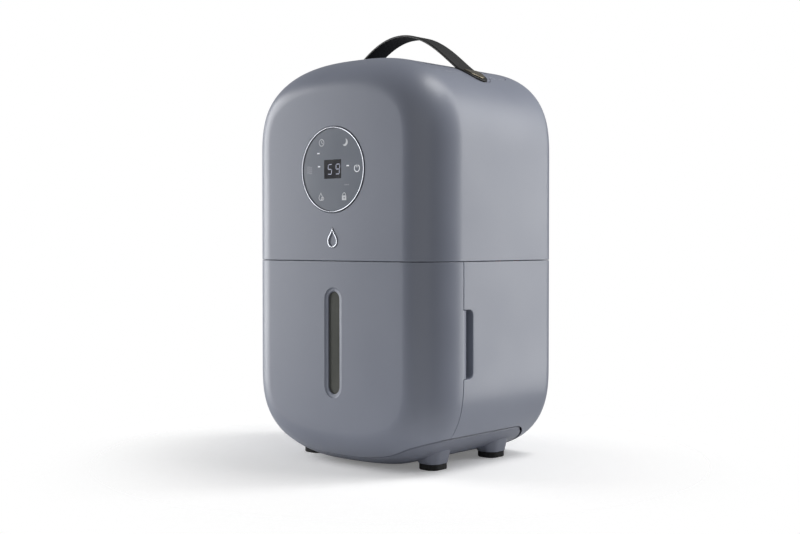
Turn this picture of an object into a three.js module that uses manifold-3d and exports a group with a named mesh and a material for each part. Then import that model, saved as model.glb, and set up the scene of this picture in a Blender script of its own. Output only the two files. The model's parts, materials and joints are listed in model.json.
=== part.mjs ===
// Portable compressor dehumidifier with a pull-out water tank and a leather carrying strap.
// Millimetres, +Z up, X to the right seen from the front, the front faces -Y, floor at Z = 0.

import * as THREE from 'three';
import { mergeVertices } from 'three/addons/utils/BufferGeometryUtils.js';
import Module from 'manifold-3d';

const wasm = await Module();
wasm.setup();

// ---------------------------------------------------------------- driving dimensions

// Body: an arched outline, wide at mid height, carried from front to back.
const BODY_WIDTH = 261;
const BODY_DEPTH = 211;
const BODY_HEIGHT = 422;
const ARCH_RISE = 98.8;          // height of the arched top and bottom ends
const ARCH_POWER = 2.7;          // superellipse exponent of both arches
const FRONT_ROUND_ACROSS = 38;   // front edge rounding, seen on the front face
const FRONT_ROUND_DEEP = 49;     // the same rounding, along the depth
const REAR_ROUND = 16;
const WALL = 3;
const SEAM_GAP = 0.5;            // open joint line between two mouldings
const FIT = 0.3;                 // clearance between pieces that seat on each other
const PROUD = 0.6;               // how far the trim stands out of the front and the back

// Joint lines.
const SEAM_HEIGHT = 212;         // between the upper housing and everything under it
const TANK_FRONT_DEPTH = 50.5;   // the tank's front panel, back from the front face

// Base tray, foot bosses and rubber pads.
const BASE_SIDE_INSET = 18.5;
const BASE_END_INSET = 16;
const BASE_CORNER = 32;
const BASE_CLEARANCE = 4.5;
const BASE_RIM_HEIGHT = 34;
const BASE_STEP = 1.2;           // the tray lies this far inside the housing's surface
const BASE_WALL = 2.5;
const FOOT_INSET = 48.5;         // foot centre in from the body's side
const FOOT_FRONT_INSET = 62;
const FOOT_REAR_INSET = 50;
const PAD_LENGTH = 27;
const PAD_WIDTH = 24;
const PAD_HEIGHT = 6;
const FOOT_FLARE = 7;
const FOOT_HEIGHT = 22;

// Control disc, display and badge on the front face.
const DISC_DROP = 116.5;         // disc centre below the crown
const DISC_RADIUS = 43.9;
const RING_WIDTH = 1.5;
const DISPLAY_WIDTH = 24;
const DISPLAY_HEIGHT = 20;
const PCB_THICK = 1.6;
const BADGE_ABOVE_SEAM = 24;
const BADGE_HEIGHT = 21.5;
const BADGE_BAND = 2;

// Top outlet grille and its two ears, the strap, and the strap's end plates.
const GRILLE_SIDE_INSET = 38;
const GRILLE_FRONT_INSET = 42;
const GRILLE_REAR_INSET = 30;
const GRILLE_CORNER = 14;
const SLOT_WIDTH = 5;
const SLOT_PITCH = 10;
const STRAP_Y = 13.5;
const STRAP_WIDTH = 27.5;
const STRAP_THICK = 2.6;
const STRAP_LIFT = 31.5;
const STRAP_LIFT_REACH = 82.5;   // half the length that stands off the housing
const STRAP_TIP = 104;
const STRAP_SINK = 1.2;          // depth of the seat under each strap end
const EAR_RADIUS = 28;
const EAR_MARGIN = 0.4;          // the ear shows this much past the strap's tip
const PLATE_THICK = 0.9;
const PLATE_BORDER = 3.2;
const PLATE_LENGTH = 19;
const STRAP_SCREW_X = 97;
const SCREW_RADIUS = 2;

// Finger pockets behind the tank front's edges.
const POCKET_WIDTH = 15.3;
const POCKET_HEIGHT = 68.9;
const POCKET_DROP = 47.8;        // top of the pocket below the seam
const POCKET_DEPTH = 12;
const POCKET_CORNER = 6;
const POCKET_WALL = 2;
const LIP_REACH = 6.7;           // finger lip behind the tank's seam
const LIP_ROLL = 3;              // how far its face turns in
const LIP_ROUND = 7.9;           // over which length
const LIP_FLOOR_GAP = 1.5;

// Water tank.
const WINDOW_WIDTH = 16;
const WINDOW_HEIGHT = 105.5;
const WINDOW_DROP = 31.2;        // top of the window below the seam
const WINDOW_RECESS = 3.7;
const RECESS_DEPTH = 1.2;
const PANE_BORDER = 3;
const PANE_THICK = 2;
const TANK_SIDE_INSET = 28;
const TANK_FLOOR = 38;
const TANK_TOP_DROP = 12;        // rim of the bucket below the seam
const TANK_WALL = 2.2;
const TANK_CORNER = 18;
const LID_THICK = 2.5;
const INLET_RADIUS = 17;
const INLET_FROM_REAR = 26;
const FLOAT_PIVOT_DROP = 13;
const FLOAT_X = 48;
const FLOAT_WIDTH = 36;
const FLOAT_LENGTH = 30;
const FLOAT_ARM = 8;

// Machine compartment behind the tank.
const COMPRESSOR_RADIUS = 46;
const COMPRESSOR_X = 42;
const COMPRESSOR_BOTTOM = 34;
const COMPRESSOR_TOP_DROP = 28;  // top of the compressor below the seam
const COMPRESSOR_WALL = 3;
const COMPRESSOR_FOOT_INSET = 10; // foot screws in from the can's side
const ROTOR_RADIUS = 24;
const BULKHEAD_THICK = 2.5;
const DECK_ABOVE_SEAM = 1.5;
const DECK_THICK = 2.5;
const DECK_RIM = 10;

// Air path: filter, evaporator, condenser and fan, stacked from the back.
const COIL_SIDE_INSET = 40;
const COIL_THICK = 20;
const COIL_ROWS = 6;
const COIL_TUBE_RADIUS = 3.5;
const COIL_SPACING = 8;
const FILTER_SPACE = 6;
const GRILLE_DEPTH = 7;
const FAN_DEPTH = 40;
const FAN_TOP_ROOM = 30;         // under the crown, for the duct's mouth
const MOTOR_RADIUS = 34;
const MOTOR_LENGTH = 26;
const SHAFT_RADIUS = 4;
const BLADES = 12;
const BLADE_LEAN = 0.7;          // radians from straight out

// ---------------------------------------------------------------- derived places

const HALF_WIDTH = BODY_WIDTH / 2;
const FRONT = -BODY_DEPTH / 2;
const BACK = BODY_DEPTH / 2;
const UPPER_CENTRE = BODY_HEIGHT - ARCH_RISE;
const LOWER_CENTRE = ARCH_RISE;
const HIGH = BODY_HEIGHT + 60;   // beyond the body, for cutting blocks
const FAR = BODY_WIDTH;
const TANK_SEAM_Y = FRONT + TANK_FRONT_DEPTH;
const POCKET_CENTRE_Z = SEAM_HEIGHT - POCKET_DROP - POCKET_HEIGHT / 2;
const WINDOW_CENTRE_Z = SEAM_HEIGHT - WINDOW_DROP - WINDOW_HEIGHT / 2;
const TANK_TOP = SEAM_HEIGHT - TANK_TOP_DROP;
const COMPRESSOR_TOP = SEAM_HEIGHT - COMPRESSOR_TOP_DROP;
const COMPRESSOR_FOOT = COMPRESSOR_RADIUS - COMPRESSOR_FOOT_INSET;
const DISC_Z = BODY_HEIGHT - DISC_DROP;
const COMPRESSOR_Y = BACK - WALL - COMPRESSOR_RADIUS - 7;
const BULKHEAD_Y = COMPRESSOR_Y - COMPRESSOR_RADIUS - 4;
const TANK_REAR = BULKHEAD_Y - BULKHEAD_THICK - 3;
const INLET_Y = TANK_REAR - INLET_FROM_REAR;
const DECK_Z = SEAM_HEIGHT + DECK_ABOVE_SEAM;
const DECK_TOP = DECK_Z + DECK_THICK;
const EVAPORATOR_BACK = BACK - WALL - GRILLE_DEPTH - FILTER_SPACE;
const EVAPORATOR_Y = EVAPORATOR_BACK - COIL_THICK / 2;
const CONDENSER_Y = EVAPORATOR_Y - COIL_THICK - COIL_SPACING;
const COIL_HALF = HALF_WIDTH - COIL_SIDE_INSET;
const COIL_BOTTOM = DECK_TOP + 12;
const COIL_TOP = BODY_HEIGHT - 44;
const COIL_PITCH = (COIL_TOP - COIL_BOTTOM) / COIL_ROWS;
const FAN_BACK = CONDENSER_Y - COIL_THICK / 2 - COIL_SPACING;
const FAN_FRONT = FAN_BACK - FAN_DEPTH;
const SCROLL_RADIUS = (BODY_HEIGHT - FAN_TOP_ROOM - DECK_TOP - 4) / 2;
const FAN_Z = DECK_TOP + 4 + SCROLL_RADIUS;
const IMPELLER_RADIUS = SCROLL_RADIUS - 12;

// ---------------------------------------------------------------- solids

function solid(geometry) {
  const bare = geometry.clone();
  bare.deleteAttribute('normal');
  bare.deleteAttribute('uv');
  const merged = mergeVertices(bare, 1e-4);
  return new wasm.Manifold(new wasm.Mesh({
    numProp: 3,
    vertProperties: new Float32Array(merged.attributes.position.array),
    triVerts: new Uint32Array(merged.index.array),
  }));
}

function geometryOf(body) {
  const mesh = body.getMesh();
  const geometry = new THREE.BufferGeometry();
  geometry.setAttribute('position', new THREE.BufferAttribute(mesh.vertProperties, 3));
  geometry.setIndex(new THREE.BufferAttribute(mesh.triVerts, 1));
  geometry.computeVertexNormals();
  return geometry;
}

function block([x0, x1], [y0, y1], [z0, z1]) {
  const box = new THREE.BoxGeometry(x1 - x0, y1 - y0, z1 - z0);
  return solid(box.translate((x0 + x1) / 2, (y0 + y1) / 2, (z0 + z1) / 2));
}

// A cylinder along one axis, from a to b, through the point `at` in the other two directions.
function rod(radius, axis, [a, b], at, sides = 24) {
  const geometry = new THREE.CylinderGeometry(radius, radius, b - a, sides);
  geometry.translate(0, (a + b) / 2, 0);
  if (axis === 'z') geometry.rotateX(Math.PI / 2);
  if (axis === 'x') geometry.rotateZ(-Math.PI / 2);
  const [u, v] = at;
  if (axis === 'x') return solid(geometry.translate(0, u, v));
  if (axis === 'y') return solid(geometry.translate(u, 0, v));
  return solid(geometry.translate(u, v, 0));
}

// A plan shape (x, y) raised from z0 to z1.
function raise(shape, [z0, z1], curveSegments = 6) {
  const options = { depth: z1 - z0, bevelEnabled: false, curveSegments };
  return solid(new THREE.ExtrudeGeometry(shape, options).translate(0, 0, z0));
}

// A front-view shape (x, z) carried along the depth from y0 to y1.
function carry(shape, [y0, y1], curveSegments = 6) {
  const options = { depth: y1 - y0, bevelEnabled: false, curveSegments };
  return solid(new THREE.ExtrudeGeometry(shape, options).rotateX(Math.PI / 2).translate(0, y1, 0));
}

function roundedRect(width, height, radius, cx = 0, cy = 0) {
  const x = width / 2, y = height / 2;
  const r = Math.min(radius, x, y);
  const shape = new THREE.Shape();
  const corners = [[x - r, y - r, 0], [r - x, y - r, 1], [r - x, r - y, 2], [x - r, r - y, 3]];
  for (const [px, py, quarter] of corners) {
    const start = quarter * Math.PI / 2;
    shape.absarc(cx + px, cy + py, r, start, start + Math.PI / 2, false);
  }
  return shape;
}

function tube(points, radius, steps, sides = 8) {
  const path = new THREE.CatmullRomCurve3(points.map(([x, y, z]) => new THREE.Vector3(x, y, z)));
  return tubeAlong(path, radius, steps, sides);
}

function tubeAlong(path, radius, steps, sides = 8) {
  const section = new THREE.Shape();
  for (let i = 0; i < sides; i++) {
    const a = 2 * Math.PI * i / sides;
    const [x, y] = [radius * Math.cos(a), radius * Math.sin(a)];
    if (i === 0) section.moveTo(x, y);
    else section.lineTo(x, y);
  }
  return solid(new THREE.ExtrudeGeometry(section, { steps, extrudePath: path, bevelEnabled: false }));
}

// Closed skin over a stack of rings with equal point counts, in order from front to back.
function skin(rings) {
  const count = rings[0].length;
  const positions = rings.flat(2);
  const faces = [];
  for (let r = 0; r + 1 < rings.length; r++) {
    for (let i = 0; i < count; i++) {
      const j = (i + 1) % count;
      const [a, b] = [r * count + i, r * count + j];
      faces.push(a, a + count, b, a + count, b + count, b);
    }
  }
  const last = (rings.length - 1) * count;
  for (let i = 1; i + 1 < count; i++) {
    faces.push(0, i, i + 1, last, last + i + 1, last + i);
  }
  const geometry = new THREE.BufferGeometry();
  geometry.setAttribute('position', new THREE.Float32BufferAttribute(positions, 3));
  geometry.setIndex(faces);
  return solid(geometry);
}

// ---------------------------------------------------------------- body form

const ARCH_STEPS = 18;

// The body's front-view outline, moved in along its own normals.
function outline(inset) {
  const points = [];
  for (const [centre, side] of [[UPPER_CENTRE, 1], [LOWER_CENTRE, -1]]) {
    for (let i = 0; i <= ARCH_STEPS; i++) {
      const t = Math.PI * i / ARCH_STEPS;
      const across = side * Math.cos(t);
      const u = Math.sign(across) * Math.abs(across) ** (2 / ARCH_POWER);
      const v = Math.abs(Math.sin(t)) ** (2 / ARCH_POWER);
      const nx = Math.sign(u) * Math.abs(u) ** (ARCH_POWER - 1) / HALF_WIDTH;
      const nz = side * v ** (ARCH_POWER - 1) / ARCH_RISE;
      const size = Math.hypot(nx, nz);
      const [x, z] = [HALF_WIDTH * u, centre + side * ARCH_RISE * v];
      points.push([x - inset * nx / size, z - inset * nz / size]);
    }
  }
  return points;
}

// The whole body as one solid, every surface moved in by `inset`.
function bodyForm(inset) {
  const rings = [];
  const ring = (y, across) => outline(across).map(([x, z]) => [x, y, z]);
  const frontSteps = 5, rearSteps = 2;
  for (let i = 0; i <= frontSteps; i++) {
    const a = Math.PI / 2 * i / frontSteps;
    rings.push(ring(FRONT + inset + (FRONT_ROUND_DEEP - inset) * (1 - Math.cos(a)),
      inset + (FRONT_ROUND_ACROSS - inset) * (1 - Math.sin(a))));
  }
  for (let i = 0; i <= rearSteps; i++) {
    const a = Math.PI / 2 * i / rearSteps;
    rings.push(ring(BACK - inset - (REAR_ROUND - inset) * (1 - Math.sin(a)),
      inset + (REAR_ROUND - inset) * (1 - Math.cos(a))));
  }
  return skin(rings);
}

// Height and slope of the crown at a distance x from the middle.
function crownHeight(x) {
  return UPPER_CENTRE + ARCH_RISE * (1 - Math.abs(x / HALF_WIDTH) ** ARCH_POWER) ** (1 / ARCH_POWER);
}

function crownTilt(x) {
  return Math.atan2(crownHeight(x - 0.5) - crownHeight(x + 0.5), 1);
}

const shell = bodyForm(0).subtract(bodyForm(WALL));
const interior = bodyForm(WALL + FIT);

// ---------------------------------------------------------------- scene graph

const group = new THREE.Group();

function add(name, body, [color, roughness, metalness]) {
  const geometry = body instanceof THREE.BufferGeometry ? body : geometryOf(body);
  const mesh = new THREE.Mesh(geometry, new THREE.MeshStandardMaterial({ color, roughness, metalness }));
  mesh.name = name;
  group.add(mesh);
}

const GREY_ABS = ['#8d919c', 0.42, 0];
const DARK_ABS = ['#4a4d55', 0.5, 0];
const INNER_ABS = ['#c9ccd0', 0.55, 0];
const RUBBER = ['#141416', 0.85, 0];
const LEATHER = ['#17181a', 0.6, 0];
const CHROME = ['#d8dadd', 0.15, 1];
const GUNMETAL = ['#7d786e', 0.3, 1];
const SMOKED = ['#4f5256', 0.1, 0];
const CLEAR_PP = ['#dfe4e8', 0.3, 0];
const COPPER = ['#b4704a', 0.3, 1];
const ALUMINIUM = ['#bfc3c7', 0.4, 1];
const BLACK_STEEL = ['#222326', 0.45, 0.3];
const STEEL = ['#9a9da1', 0.35, 1];
const BOARD = ['#1f5a3a', 0.5, 0];
const FOAM = ['#5b5e62', 0.9, 0];

// ---------------------------------------------------------------- top grille plan

function grillePlan(gap) {
  const width = 2 * (HALF_WIDTH - GRILLE_SIDE_INSET + gap);
  const y0 = FRONT + GRILLE_FRONT_INSET - gap;
  const y1 = BACK - GRILLE_REAR_INSET + gap;
  const panel = roundedRect(width, y1 - y0, GRILLE_CORNER, 0, (y0 + y1) / 2);
  let plan = raise(panel, [UPPER_CENTRE, HIGH]);
  for (const side of [-1, 1]) {
    const x = side * (STRAP_TIP + EAR_MARGIN - EAR_RADIUS);
    plan = plan.add(rod(EAR_RADIUS + gap, 'z', [UPPER_CENTRE, HIGH], [x, STRAP_Y], 32));
  }
  return plan;
}

// A ribbon over the crown: from x0 to x1, between two offsets from the strap's middle surface.
function ribbon([x0, x1], [below, above], [y0, y1], steps) {
  const centre = (x) => {
    const lift = Math.max(0, 1 - (x / STRAP_LIFT_REACH) ** 2) ** 1.5;
    return crownHeight(x) - STRAP_SINK + FIT + STRAP_THICK / 2 + STRAP_LIFT * lift;
  };
  const under = [], over = [];
  for (let i = 0; i <= steps; i++) {
    const x = x0 + (x1 - x0) * i / steps;
    const slope = centre(x + 0.5) - centre(x - 0.5);
    const size = Math.hypot(slope, 1);
    under.push(new THREE.Vector2(x - slope / size * below, centre(x) + below / size));
    over.unshift(new THREE.Vector2(x - slope / size * above, centre(x) + above / size));
  }
  return carry(new THREE.Shape([...under, ...over]), [y0, y1]);
}

function strapScrewHole(side, radius, [from, to]) {
  const geometry = new THREE.CylinderGeometry(radius, radius, to - from, 16);
  geometry.translate(0, (from + to) / 2, 0).rotateX(Math.PI / 2);
  geometry.rotateY(side * crownTilt(STRAP_SCREW_X));
  return solid(geometry.translate(side * STRAP_SCREW_X, STRAP_Y, crownHeight(STRAP_SCREW_X)));
}

// ---------------------------------------------------------------- housings

const baseFoot = (grow) => {
  const width = 2 * (HALF_WIDTH - BASE_SIDE_INSET + grow);
  const length = BODY_DEPTH - 2 * BASE_END_INSET + 2 * grow;
  return roundedRect(width, length, BASE_CORNER + grow);
};
const baseCut = raise(baseFoot(SEAM_GAP), [-10, 2 * BASE_RIM_HEIGHT]);
const aboveSeam = block([-FAR, FAR], [-FAR, FAR], [SEAM_HEIGHT + SEAM_GAP / 2, HIGH]);
const belowSeam = block([-FAR, FAR], [-FAR, FAR], [-10, SEAM_HEIGHT - SEAM_GAP / 2]);

const rearOpening = {
  width: 2 * COIL_HALF + 4,
  bottom: COIL_BOTTOM - 2,
  top: COIL_TOP - 4,
  corner: 10,
};
const rearWindow = (shrink) => {
  const { width, bottom, top, corner } = rearOpening;
  const height = top - bottom - 2 * shrink;
  return roundedRect(width - 2 * shrink, height, corner, 0, (bottom + top) / 2);
};

function dropShape(height, [cx, cz], band) {
  const bottom = height * 0.33 - band;
  const tip = height * 0.67 - band * 1.9;
  const shape = new THREE.Shape();
  shape.moveTo(cx, cz + tip);
  shape.bezierCurveTo(cx + bottom * 0.3, cz + tip * 0.55, cx + bottom, cz + bottom * 0.75, cx + bottom, cz);
  shape.absarc(cx, cz, bottom, 0, Math.PI, true);
  shape.bezierCurveTo(cx - bottom, cz + bottom * 0.75, cx - bottom * 0.3, cz + tip * 0.55, cx, cz + tip);
  return shape;
}

const badgeAt = [0, SEAM_HEIGHT + BADGE_ABOVE_SEAM - BADGE_HEIGHT * 0.17];
const BADGE_SEAT = 1.2;

let upperHousing = shell.intersect(aboveSeam);
upperHousing = upperHousing.subtract(grillePlan(SEAM_GAP));
const discHole = rod(DISC_RADIUS + FIT, 'y', [FRONT - 5, FRONT + WALL + 5], [0, DISC_Z], 48);
const badgeSeat = carry(dropShape(BADGE_HEIGHT, badgeAt, -FIT), [FRONT - 5, FRONT + BADGE_SEAT + FIT]);
upperHousing = upperHousing.subtract(discHole).subtract(badgeSeat);
upperHousing = upperHousing.subtract(carry(rearWindow(0), [BACK - REAR_ROUND, BACK + 5]));
add('upper_housing', upperHousing, GREY_ABS);

// The pocket opens forwards onto the tank front's edge, so its front corners fall past the seam.
function pocketShape(grow) {
  const width = POCKET_WIDTH + 2 * POCKET_CORNER;
  const centre = TANK_SEAM_Y + POCKET_WIDTH - width / 2;
  return roundedRect(POCKET_HEIGHT + 2 * grow, width + 2 * grow, POCKET_CORNER + grow, 0, centre);
}

// A side-view shape, given as (height about the pocket's centre, y), pushed in from one side.
function pocket(side, grow, [from, to]) {
  const geometry = new THREE.ExtrudeGeometry(pocketShape(grow), {
    depth: to - from, bevelEnabled: false, curveSegments: 5,
  });
  geometry.translate(0, 0, from).rotateY(-Math.PI / 2).translate(0, 0, POCKET_CENTRE_Z);
  if (side > 0) geometry.translate(2 * HALF_WIDTH, 0, 0);
  return solid(geometry);
}

const pocketFloor = HALF_WIDTH - POCKET_DEPTH;
let lowerHousing = shell.intersect(belowSeam).subtract(baseCut);
for (const side of [-1, 1]) {
  const cup = side > 0
    ? pocket(side, POCKET_WALL, [HALF_WIDTH + WALL / 2, HALF_WIDTH + POCKET_DEPTH + POCKET_WALL])
    : pocket(side, POCKET_WALL, [pocketFloor - POCKET_WALL, HALF_WIDTH - WALL / 2]);
  const hollow = side > 0
    ? pocket(side, 0, [HALF_WIDTH - 10, HALF_WIDTH + POCKET_DEPTH])
    : pocket(side, 0, [pocketFloor, HALF_WIDTH + 10]);
  lowerHousing = lowerHousing.add(cup).subtract(hollow);
}
lowerHousing = lowerHousing.subtract(block([-FAR, FAR], [-FAR, TANK_SEAM_Y + SEAM_GAP / 2], [-10, HIGH]));
const DRAIN = { x: -HALF_WIDTH / 2, z: 62, radius: 9 };
const GLAND = { x: HALF_WIDTH / 2, z: 56, radius: 7 };
for (const { x, z, radius } of [DRAIN, GLAND]) {
  lowerHousing = lowerHousing.subtract(rod(radius + FIT, 'y', [BACK - 20, BACK + 5], [x, z]));
}
add('lower_housing', lowerHousing, GREY_ABS);

// ---------------------------------------------------------------- base tray and feet

const footPlaces = [
  ['front_left', -1, FRONT + FOOT_FRONT_INSET],
  ['front_right', 1, FRONT + FOOT_FRONT_INSET],
  ['rear_left', -1, BACK - FOOT_REAR_INSET],
  ['rear_right', 1, BACK - FOOT_REAR_INSET],
];
const footX = HALF_WIDTH - FOOT_INSET;
const compressorFeet = [30, 150, 270].map((degrees) => {
  const a = degrees * Math.PI / 180;
  return [COMPRESSOR_X + COMPRESSOR_FOOT * Math.cos(a), COMPRESSOR_Y + COMPRESSOR_FOOT * Math.sin(a)];
});
const GROMMET_BOTTOM = 20;

function footBoss(side, y) {
  const ring = (grow, z, shift) => {
    const x = side * (footX - shift);
    const shape = roundedRect(PAD_WIDTH + grow, PAD_LENGTH + grow, 9 + grow / 2, x, y);
    return shape.extractPoints(3).shape.map((p) => [p.x, p.y, z]);
  };
  const top = ring(2 * FOOT_FLARE, FOOT_HEIGHT, 3);
  const bottom = ring(1.5, PAD_HEIGHT + FIT, 0);
  return skin([top, bottom].map((points) => points.slice(0, -1)));
}

const trayTop = block([-FAR, FAR], [-FAR, FAR], [BASE_CLEARANCE, BASE_RIM_HEIGHT]);
let baseTray = bodyForm(BASE_STEP).intersect(raise(baseFoot(0), [-10, HIGH])).intersect(trayTop);
for (const [, side, y] of footPlaces) baseTray = baseTray.add(footBoss(side, y));
const trayHollow = bodyForm(BASE_STEP + BASE_WALL)
  .intersect(raise(baseFoot(-BASE_WALL), [BASE_CLEARANCE + BASE_WALL, HIGH]));
baseTray = baseTray.subtract(trayHollow);
for (const at of compressorFeet) {
  baseTray = baseTray.add(rod(8, 'z', [BASE_CLEARANCE + BASE_WALL / 2, GROMMET_BOTTOM], at, 16)
    .intersect(bodyForm(BASE_STEP + BASE_WALL / 2)));
}
add('base_tray', baseTray, GREY_ABS);

for (const [name, side, y] of footPlaces) {
  const pad = roundedRect(PAD_WIDTH, PAD_LENGTH, 9, side * footX, y);
  add(`foot_pad_${name}`, raise(pad, [0, PAD_HEIGHT], 3), RUBBER);
}

// ---------------------------------------------------------------- top grille and strap

let topGrille = shell.intersect(aboveSeam).intersect(grillePlan(0));
const slotHalf = HALF_WIDTH - GRILLE_SIDE_INSET - 14;
const slotStart = FRONT + GRILLE_FRONT_INSET + 16;
const slotCount = Math.floor((BODY_DEPTH - GRILLE_FRONT_INSET - GRILLE_REAR_INSET - 32) / SLOT_PITCH) + 1;
for (let i = 0; i < slotCount; i++) {
  const slot = roundedRect(2 * slotHalf, SLOT_WIDTH, SLOT_WIDTH / 2, 0, slotStart + i * SLOT_PITCH);
  topGrille = topGrille.subtract(raise(slot, [UPPER_CENTRE, HIGH], 1));
}
const seatReach = [STRAP_TIP - 26, STRAP_TIP + 10];
for (const side of [-1, 1]) {
  const reach = side > 0 ? seatReach : [-seatReach[1], -seatReach[0]];
  const strapHalf = STRAP_WIDTH / 2 + FIT;
  const acrossSeat = [STRAP_Y - strapHalf, STRAP_Y + strapHalf];
  const seat = ribbon(reach, [-STRAP_THICK / 2 - FIT, STRAP_THICK * 2], acrossSeat, 10);
  topGrille = topGrille.subtract(seat);
  topGrille = topGrille.subtract(strapScrewHole(side, SCREW_RADIUS + FIT, [-10, 10]));
}
add('top_grille', topGrille, GREY_ABS);

function strapPlan(border, [z0, z1]) {
  const width = 2 * (STRAP_TIP - border);
  return raise(roundedRect(width, STRAP_WIDTH - 2 * border, STRAP_WIDTH, 0, STRAP_Y), [z0, z1], 5);
}

const strapY = [STRAP_Y - STRAP_WIDTH / 2 - 1, STRAP_Y + STRAP_WIDTH / 2 + 1];
let strap = ribbon([-STRAP_TIP - 8, STRAP_TIP + 8], [-STRAP_THICK / 2, STRAP_THICK / 2], strapY, 32);
strap = strap.intersect(strapPlan(0, [UPPER_CENTRE - 20, HIGH]));
for (const side of [-1, 1]) strap = strap.subtract(strapScrewHole(side, SCREW_RADIUS + FIT, [-10, 10]));
add('strap', strap, LEATHER);

for (const [name, side] of [['left', -1], ['right', 1]]) {
  const edges = [STRAP_TIP - PLATE_LENGTH, STRAP_TIP + 8];
  const reach = side > 0 ? edges : [-edges[1], -edges[0]];
  const low = STRAP_THICK / 2 + FIT;
  const plate = ribbon(reach, [low, low + PLATE_THICK], strapY, 10)
    .intersect(strapPlan(PLATE_BORDER, [UPPER_CENTRE - 20, HIGH]));
  add(`strap_plate_${name}`, plate, GUNMETAL);
  const shankTop = STRAP_THICK - STRAP_SINK + FIT;
  const screw = strapScrewHole(side, SCREW_RADIUS, [-WALL - 2, shankTop])
    .add(strapScrewHole(side, 2 * SCREW_RADIUS, [-WALL - 4, -WALL - 1.2]));
  add(`strap_screw_${name}`, screw, STEEL);
}

// ---------------------------------------------------------------- control panel

const ringInner = DISC_RADIUS - RING_WIDTH;
const trimFront = FRONT - PROUD;
add('control_ring', rod(DISC_RADIUS, 'y', [trimFront, FRONT + WALL], [0, DISC_Z], 48)
  .subtract(rod(ringInner, 'y', [trimFront - 1, FRONT + WALL + 1], [0, DISC_Z], 48)), CHROME);
const panelDisc = rod(ringInner - FIT, 'y', [FRONT + PROUD / 2, FRONT + WALL], [0, DISC_Z], 48);
add('control_panel', panelDisc, GREY_ABS);

const displayBack = FRONT + WALL + FIT + 5;
add('display_module', block([-DISPLAY_WIDTH / 2, DISPLAY_WIDTH / 2], [FRONT + WALL + FIT, displayBack],
  [DISC_Z - DISPLAY_HEIGHT / 2, DISC_Z + DISPLAY_HEIGHT / 2]), SMOKED);
add('control_board', rod(DISC_RADIUS - 4, 'y', [displayBack + FIT, displayBack + FIT + PCB_THICK],
  [0, DISC_Z], 32), BOARD);

const badgeInside = dropShape(BADGE_HEIGHT, badgeAt, BADGE_BAND);
const badge = carry(dropShape(BADGE_HEIGHT, badgeAt, 0), [trimFront, FRONT + BADGE_SEAT])
  .subtract(carry(badgeInside, [trimFront - 1, FRONT + BADGE_SEAT - 0.5]));
add('badge', badge, CHROME);

// ---------------------------------------------------------------- water tank

const tankRim = TANK_SEAM_Y - SEAM_GAP / 2;
const lipRoot = tankRim - 2.5;
const pocketSpan = (grow) => {
  const half = POCKET_HEIGHT / 2 + grow;
  return [POCKET_CENTRE_Z - half, POCKET_CENTRE_Z + half];
};

// The tank front's rear edge rolls in behind the pocket, as a lip to pull on.
function fingerLip(side) {
  const tip = TANK_SEAM_Y + LIP_REACH;
  const inner = pocketFloor + LIP_FLOOR_GAP;
  const points = [];
  for (let i = 0; i <= 6; i++) {
    const turn = Math.PI / 2 * i / 6;
    const x = HALF_WIDTH - LIP_ROLL + (LIP_ROLL - 0.05) * Math.cos(turn);
    points.push(new THREE.Vector2(side * x, tip - LIP_ROUND * (1 - Math.sin(turn))));
  }
  points.push(new THREE.Vector2(side * inner, tip));
  points.push(new THREE.Vector2(side * inner, lipRoot));
  points.push(new THREE.Vector2(side * (HALF_WIDTH - WALL / 2), lipRoot));
  return raise(new THREE.Shape(points), pocketSpan(-FIT));
}

let tankFront = shell.intersect(belowSeam).subtract(baseCut)
  .subtract(block([-FAR, FAR], [tankRim, FAR], [-10, HIGH]));
for (const side of [-1, 1]) {
  const across = [side * (pocketFloor - POCKET_WALL), side * (HALF_WIDTH - WALL / 2)];
  const flange = block(across.sort((a, b) => a - b), [lipRoot, tankRim], pocketSpan(4));
  tankFront = tankFront.add(flange).add(fingerLip(side));
}
const windowShape = (grow) => roundedRect(WINDOW_WIDTH + 2 * grow, WINDOW_HEIGHT + 2 * grow,
  WINDOW_WIDTH / 2 + grow, 0, WINDOW_CENTRE_Z);
tankFront = tankFront.subtract(carry(windowShape(0), [FRONT - 5, FRONT + 10]));
tankFront = tankFront.subtract(carry(windowShape(WINDOW_RECESS), [FRONT - 5, FRONT + RECESS_DEPTH]));
add('tank_front', tankFront, GREY_ABS);

const paneFront = FRONT + WALL + FIT;
add('tank_window', carry(windowShape(PANE_BORDER), [paneFront, paneFront + PANE_THICK]), SMOKED);

const tankHalf = HALF_WIDTH - TANK_SIDE_INSET;
const tankNose = paneFront + PANE_THICK + 1;
const tankMiddle = (TANK_REAR + tankNose) / 2;
const tankCavity = (wall) => {
  const length = TANK_REAR - tankNose - 2 * wall;
  const plan = roundedRect(2 * (tankHalf - wall), length, TANK_CORNER - wall, 0, tankMiddle);
  const top = TANK_TOP + (wall ? 5 : 0);
  return raise(plan, [TANK_FLOOR + wall, top]).intersect(bodyForm(WALL + 1.5 + wall));
};
add('tank_bucket', tankCavity(0).subtract(tankCavity(TANK_WALL)), CLEAR_PP);

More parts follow.
